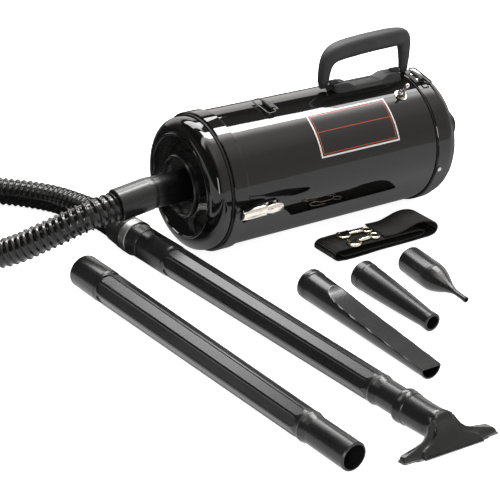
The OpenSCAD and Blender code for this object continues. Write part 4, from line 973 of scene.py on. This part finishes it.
def cuff_plastic():
    f = Finish("port_cuff_plastic_painted_shade")
    grain = f.noise(900.0, 2.0)
    x = f.xyz()[0]
    glossy = f.shader(Base_Color=(0.011, 0.011, 0.0112), Roughness=0.22 + 0.08 * grain)
    # Painted shade: near the port the cuff is near black with little gloss, for the shade where
    # it enters the cover.
    dark = f.shader(Base_Color=(0.003, 0.003, 0.003), Roughness=0.3 + 0.1 * grain,
                    Specular_IOR_Level=0.08)
    return f.give(f.node("ShaderNodeMixShader", None,
                         {0: x.fade(CUFF_GLOSSY_X, CUFF_SHADE_X), 1: glossy, 2: dark}))


# %% [markdown]
# ## Plated metals
# Nickel, pale gold and brushed silver are the same sum with other colours: a
# metal whose gloss is broken by small rubs.

# %% Metals


def plated(name, colour, rough, grain=120.0):
    f = Finish(name)
    rub = f.noise(grain, 4.0, 0.6)
    shade = tuple(c * 0.88 for c in colour)
    return f.paint(Base_Color=f.mix(rub.fade(0.35, 0.6), shade, colour), Metallic=1.0,
                   Roughness=rough + 0.12 * rub,
                   Normal=f.bump(rub, 0.00002, 0.25))


# %% [markdown]
# ## Rubber, paper, card and windings
# Pieces inside the canister show when its cover comes off, or not at all, and
# still get a finish of their own.

# %% Quiet finishes


def quiet(name, light, dark, rough, scale, metallic=0.0):
    f = Finish(name)
    fibre = f.noise(scale, 4.0, 0.65)
    return f.paint(Base_Color=f.mix(fibre.fade(0.3, 0.7), dark, light), Metallic=metallic,
                   Roughness=rough + 0.1 * fibre, Normal=f.bump(fibre, 0.0001, 0.6))


# %% [markdown]
# ## The label
# A printed plate wraps round the canister's side. It is bare here: a white
# edge, a thin warm line inside it, and one such line across. The masks are
# distances from the plate's edges, along the axis and round the tube.

# %% Label print
LABEL_X, LABEL_TURN = (137, 265), (21.6, 61.9)      # along the tube, degrees round it
LABEL_LEFT, LABEL_RIGHT = (float(mm(edge, 0, 0)[0]) for edge in LABEL_X)
LABEL_LOW, LABEL_HIGH = (math.radians(edge) for edge in LABEL_TURN)
WHITE_EDGE, LINE_FROM, LINE_TO, BAR_HALF = 0.0022, 0.0040, 0.0051, 0.0005


def label_print():
    f = Finish("label_print")
    x, y, z = f.xyz()
    _, axis_y, axis_z = (float(c) for c in mm(0, 0, AXIS_Z))
    turn = f.node("ShaderNodeMath", {"operation": "ARCTAN2"}, {0: z - axis_z, 1: axis_y - y})
    radius = TUBE_R / 1000
    side = (x - LABEL_LEFT).least(LABEL_RIGHT - x)
    end = ((turn - LABEL_LOW) * radius).least((LABEL_HIGH - turn) * radius)
    edge = side.least(end)
    border = edge.below(WHITE_EDGE)
    line = edge.above(LINE_FROM) * edge.below(LINE_TO)
    across = (turn - (LABEL_LOW + 0.54 * (LABEL_HIGH - LABEL_LOW))) * radius
    bar = across.above(-BAR_HALF) * across.below(BAR_HALF) * edge.above(LINE_FROM)
    field = f.mix(border, (0.011, 0.010, 0.0095), (0.80, 0.79, 0.76))
    colour = f.mix((line + bar).above(0.5), field, (0.46, 0.055, 0.012))
    return f.paint(Base_Color=colour, Roughness=0.16 + 0.1 * border, IOR=1.5)


# %% [markdown]
# ## Woven webbing
# Webbing is ribbed across its width by its weft and lined along its length by
# its warp. Two sine waves make the ribs, and a noise breaks them up. The colour
# follows the same height: painted shade in the valleys between the ribs and
# painted light on their tops, with the noise's random tone.

# %% Webbing cloth
WEFT_PITCH, WARP_PITCH = 0.0024, 0.0011


def webbing_cloth():
    f = Finish("woven_webbing")
    x, y, _ = f.xyz()
    weft = (x * (2 * math.pi / WEFT_PITCH)).sine()
    warp = (y * (2 * math.pi / WARP_PITCH)).sine()
    fuzz = f.noise(2400.0, 3.0)
    height = weft * 0.5 + warp * 0.15 + fuzz * 0.5
    # Painted shade and light: the colour is darker where the weave is low and lighter where it is
    # high.
    return f.paint(Base_Color=f.mix(height.fade(-0.1, 0.7), (0.0015, 0.0015, 0.0016),
                                    (0.060, 0.058, 0.055)),
                   Roughness=0.8, Specular_IOR_Level=0.12,
                   Normal=f.bump(height, 0.0004, 0.9))


# %% [markdown]
# ## Which piece gets which finish
# The imported model names a material slot for each of its solids, and the pieces
# made here noted theirs. A few solids get another finish than their slot's:
# the latch bases are painted over, the port's ring is moulded, the screws take
# the moulded black as painted shade in their wells, and the port cuff has its
# own, with painted shade where it enters the cover.

# %% Finishes by slot
FINISHES = {
    "black_gloss_paint": gloss_enamel(),
    "satin_black_plastic": satin_plastic(),
    "matte_black_plastic": textured_plastic(),
    "ribbed_hose_plastic": hose_plastic(),
    "nickel_plate": plated("nickel_plate", (0.84, 0.79, 0.72), 0.13),
    "pale_gold_plate": plated("pale_gold_plate", (0.83, 0.76, 0.62), 0.12),
    "bright_steel": plated("bright_steel", (0.62, 0.62, 0.62), 0.25),
    "silver_band": plated("silver_band", (0.42, 0.42, 0.41), 0.32, 300.0),
    "wound_copper_iron": quiet("wound_copper_iron", (0.42, 0.20, 0.09), (0.10, 0.08, 0.07),
                               0.4, 500.0, metallic=0.6),
    "black_rubber": quiet("black_rubber", (0.016, 0.016, 0.016), (0.010, 0.010, 0.010),
                          0.65, 300.0),
    "bag_paper": quiet("bag_paper", (0.72, 0.64, 0.50), (0.60, 0.52, 0.39), 0.8, 260.0),
    "bag_card": quiet("bag_card", (0.52, 0.41, 0.27), (0.42, 0.32, 0.20), 0.75, 180.0),
    "label_print": label_print(),
    "woven_webbing": webbing_cloth(),
}
PAINTED_OVER = {"latch_base_near": FINISHES["black_gloss_paint"],
                "latch_base_far": FINISHES["black_gloss_paint"],
                # Painted shade: the screws are made dark for the shade in their wells.
                "handle_screws": FINISHES["satin_black_plastic"],
                "port_collar": FINISHES["satin_black_plastic"],
                "hose_cuff": cuff_plastic()}
slot_of = {s["node"]: s["material_slot"] for s in frame["record"]["subparts"]}
for name, part in frame["nodes"].items():
    part.data.materials.clear()
    part.data.materials.append(PAINTED_OVER.get(name, FINISHES[slot_of[name]]))
for piece, slot in DRESSED:
    piece.data.materials.append(FINISHES[slot])
print("finishes:", len(FINISHES), "on", len(slot_of), "solids and", len(DRESSED), "pieces")

# %% [markdown]
# ## Table, walls and lamps
# The set stands on a white table in a white room. What gloss black shows is
# only what it reflects, so the room is drawn for it: a bright strip lamp over
# and behind the canister, a dark gap behind the strip, a white wall low behind,
# and a dimmer wall in front. The table is white to the eye, and in reflections
# it carries painted shade behind the canister and past its cover, where shade
# falls round the canister.

# %% Table
floor_mesh = bpy.data.meshes.new("table")
floor_mesh.from_pydata([(-8, -8, 0), (8, -8, 0), (8, 8, 0), (-8, 8, 0)], [], [(0, 1, 2, 3)])
table = bpy.data.objects.new("table", floor_mesh)
bpy.context.collection.objects.link(table)
table.location.z = -0.0004


def table_white():
    f = Finish("table_white")
    cloth = f.node("ShaderNodeBsdfDiffuse", None, {"Color": (0.82, 0.82, 0.82, 1)})
    glow = f.node("ShaderNodeEmission", None, {"Strength": 0.92})
    seen = f.node("ShaderNodeAddShader", None, {0: cloth, 1: glow})
    x, y, _ = f.xyz()
    # Painted shade: in reflections the table darkens behind the canister and past its cover, for
    # the shade that falls round the canister.
    shade_behind_it = 1.0 - 0.87 * y.fade(0.085, 0.205) * x.fade(-0.17, -0.10)
    shade_past_cover = 1.0 - 0.97 * x.fade(-0.135, -0.175) * (y + (x + 0.17)).fade(0.13, 0.19)
    mirrored = f.node("ShaderNodeEmission", None, {"Strength": 1.2 * shade_behind_it * shade_past_cover})
    to_camera = f.node("ShaderNodeLightPath", out="Is Camera Ray")
    to_gloss = f.node("ShaderNodeLightPath", out="Is Glossy Ray")
    by_camera = f.node("ShaderNodeMixShader", None, {0: to_camera, 1: cloth, 2: seen})
    return f.give(f.node("ShaderNodeMixShader", None, {0: to_gloss, 1: by_camera, 2: mirrored}))


table.data.materials.append(table_white())
print("table:", tuple(round(side, 1) for side in table.dimensions))

# %% [markdown]
# ## The room in reflections
# The world's direction gives three numbers: along the canister, behind it and
# height. A ramp over height makes each wall, and a glow high overhead softens
# the front edge of the strip lamp's streak. Only glossy rays see this room: the
# camera sees white, and the rest is lit evenly.

# %% Room
world = bpy.data.worlds.new("room")
bpy.context.scene.world = world
world.use_nodes = True
room = world.node_tree
room.nodes.clear()
along, behind, height = split_xyz(room, node(room, "ShaderNodeTexCoord", out="Generated"))
back_wall = node(room, "ShaderNodeValToRGB",
                 {"stops": [(0.0, 1.1), (0.2, 1.5), (0.43, 1.5), (0.485, 0.03), (0.62, 0.04),
                            (0.8, 0.2)]}, {0: height})
front_wall = node(room, "ShaderNodeValToRGB",
                  {"stops": [(0.0, 0.72), (0.3, 0.62), (0.6, 0.66), (0.78, 1.1), (0.9, 1.5)]},
                  {0: height})
walls = node(room, "ShaderNodeMix", {"data_type": "RGBA"},
             {0: behind.fade(-0.05, 0.12), 6: front_wall, 7: back_wall}, out=2)
dim_left = along.fade(-0.42, -0.05) * 0.93 + 0.07
lit = node(room, "ShaderNodeVectorMath", {"operation": "SCALE"}, {0: walls, 3: dim_left})
halo = behind.fade(-0.24, 0.08) ** 3 * height.fade(0.66, 0.78) * behind.fade(0.16, 0.10)
haloed = node(room, "ShaderNodeVectorMath", {"operation": "ADD"}, {0: lit, 1: halo * 6.0})
mirror_room = node(room, "ShaderNodeVectorMath", {"operation": "MULTIPLY"},
                   {0: haloed, 1: (1.02, 1.0, 0.965)})
plain = node(room, "ShaderNodeBackground", None, {"Strength": 0.55})
mirrored = node(room, "ShaderNodeBackground", None, {"Color": mirror_room})
white = node(room, "ShaderNodeBackground", None, {"Color": (1, 1, 1, 1)})
by_gloss = node(room, "ShaderNodeMixShader", None,
                {0: node(room, "ShaderNodeLightPath", out="Is Glossy Ray"),
                 1: plain, 2: mirrored})
by_camera = node(room, "ShaderNodeMixShader", None,
                 {0: node(room, "ShaderNodeLightPath", out="Is Camera Ray"),
                  1: by_gloss, 2: white})
node(room, "ShaderNodeOutputWorld", None, {0: by_camera})
print("room:", len(room.nodes), "nodes")

# %% [markdown]
# ## The lamps
# Two flat lamps hang over the set and point down, one stands behind it, and a
# small one on the left puts a highlight on the front cover.

# %% Lamps


def lamp(name, place, size, power, aim=None):
    """A flat lamp that points at a place, or straight down."""
    light = bpy.data.lights.new(name, "AREA")
    light.shape = "RECTANGLE"
    light.size, light.size_y = size
    light.energy = power
    holder = bpy.data.objects.new(name, light)
    holder.location = place
    if aim:
        way = Vector(aim) - Vector(place)
        holder.rotation_euler = way.to_track_quat("-Z", "Y").to_euler()
    bpy.context.collection.objects.link(holder)


lamp("strip_lamp", (0.58, 0.55, 1.70), (1.18, 0.42), 31.0)
lamp("tail_lamp", (1.40, 0.55, 1.70), (0.44, 0.20), 2.2)
lamp("back_lamp", (0.06, 0.92, 1.02), (0.86, 0.5), 11.5, aim=(-0.22, -0.25, 0.0))
lamp("side_lamp", (-0.98, -0.98, 0.34), (0.22, 0.6), 3.2, aim=(-0.12, 0.2, 0.1))
print("lamps:", len(bpy.data.lights))
bpy.context.scene.view_settings.view_transform = "Standard"
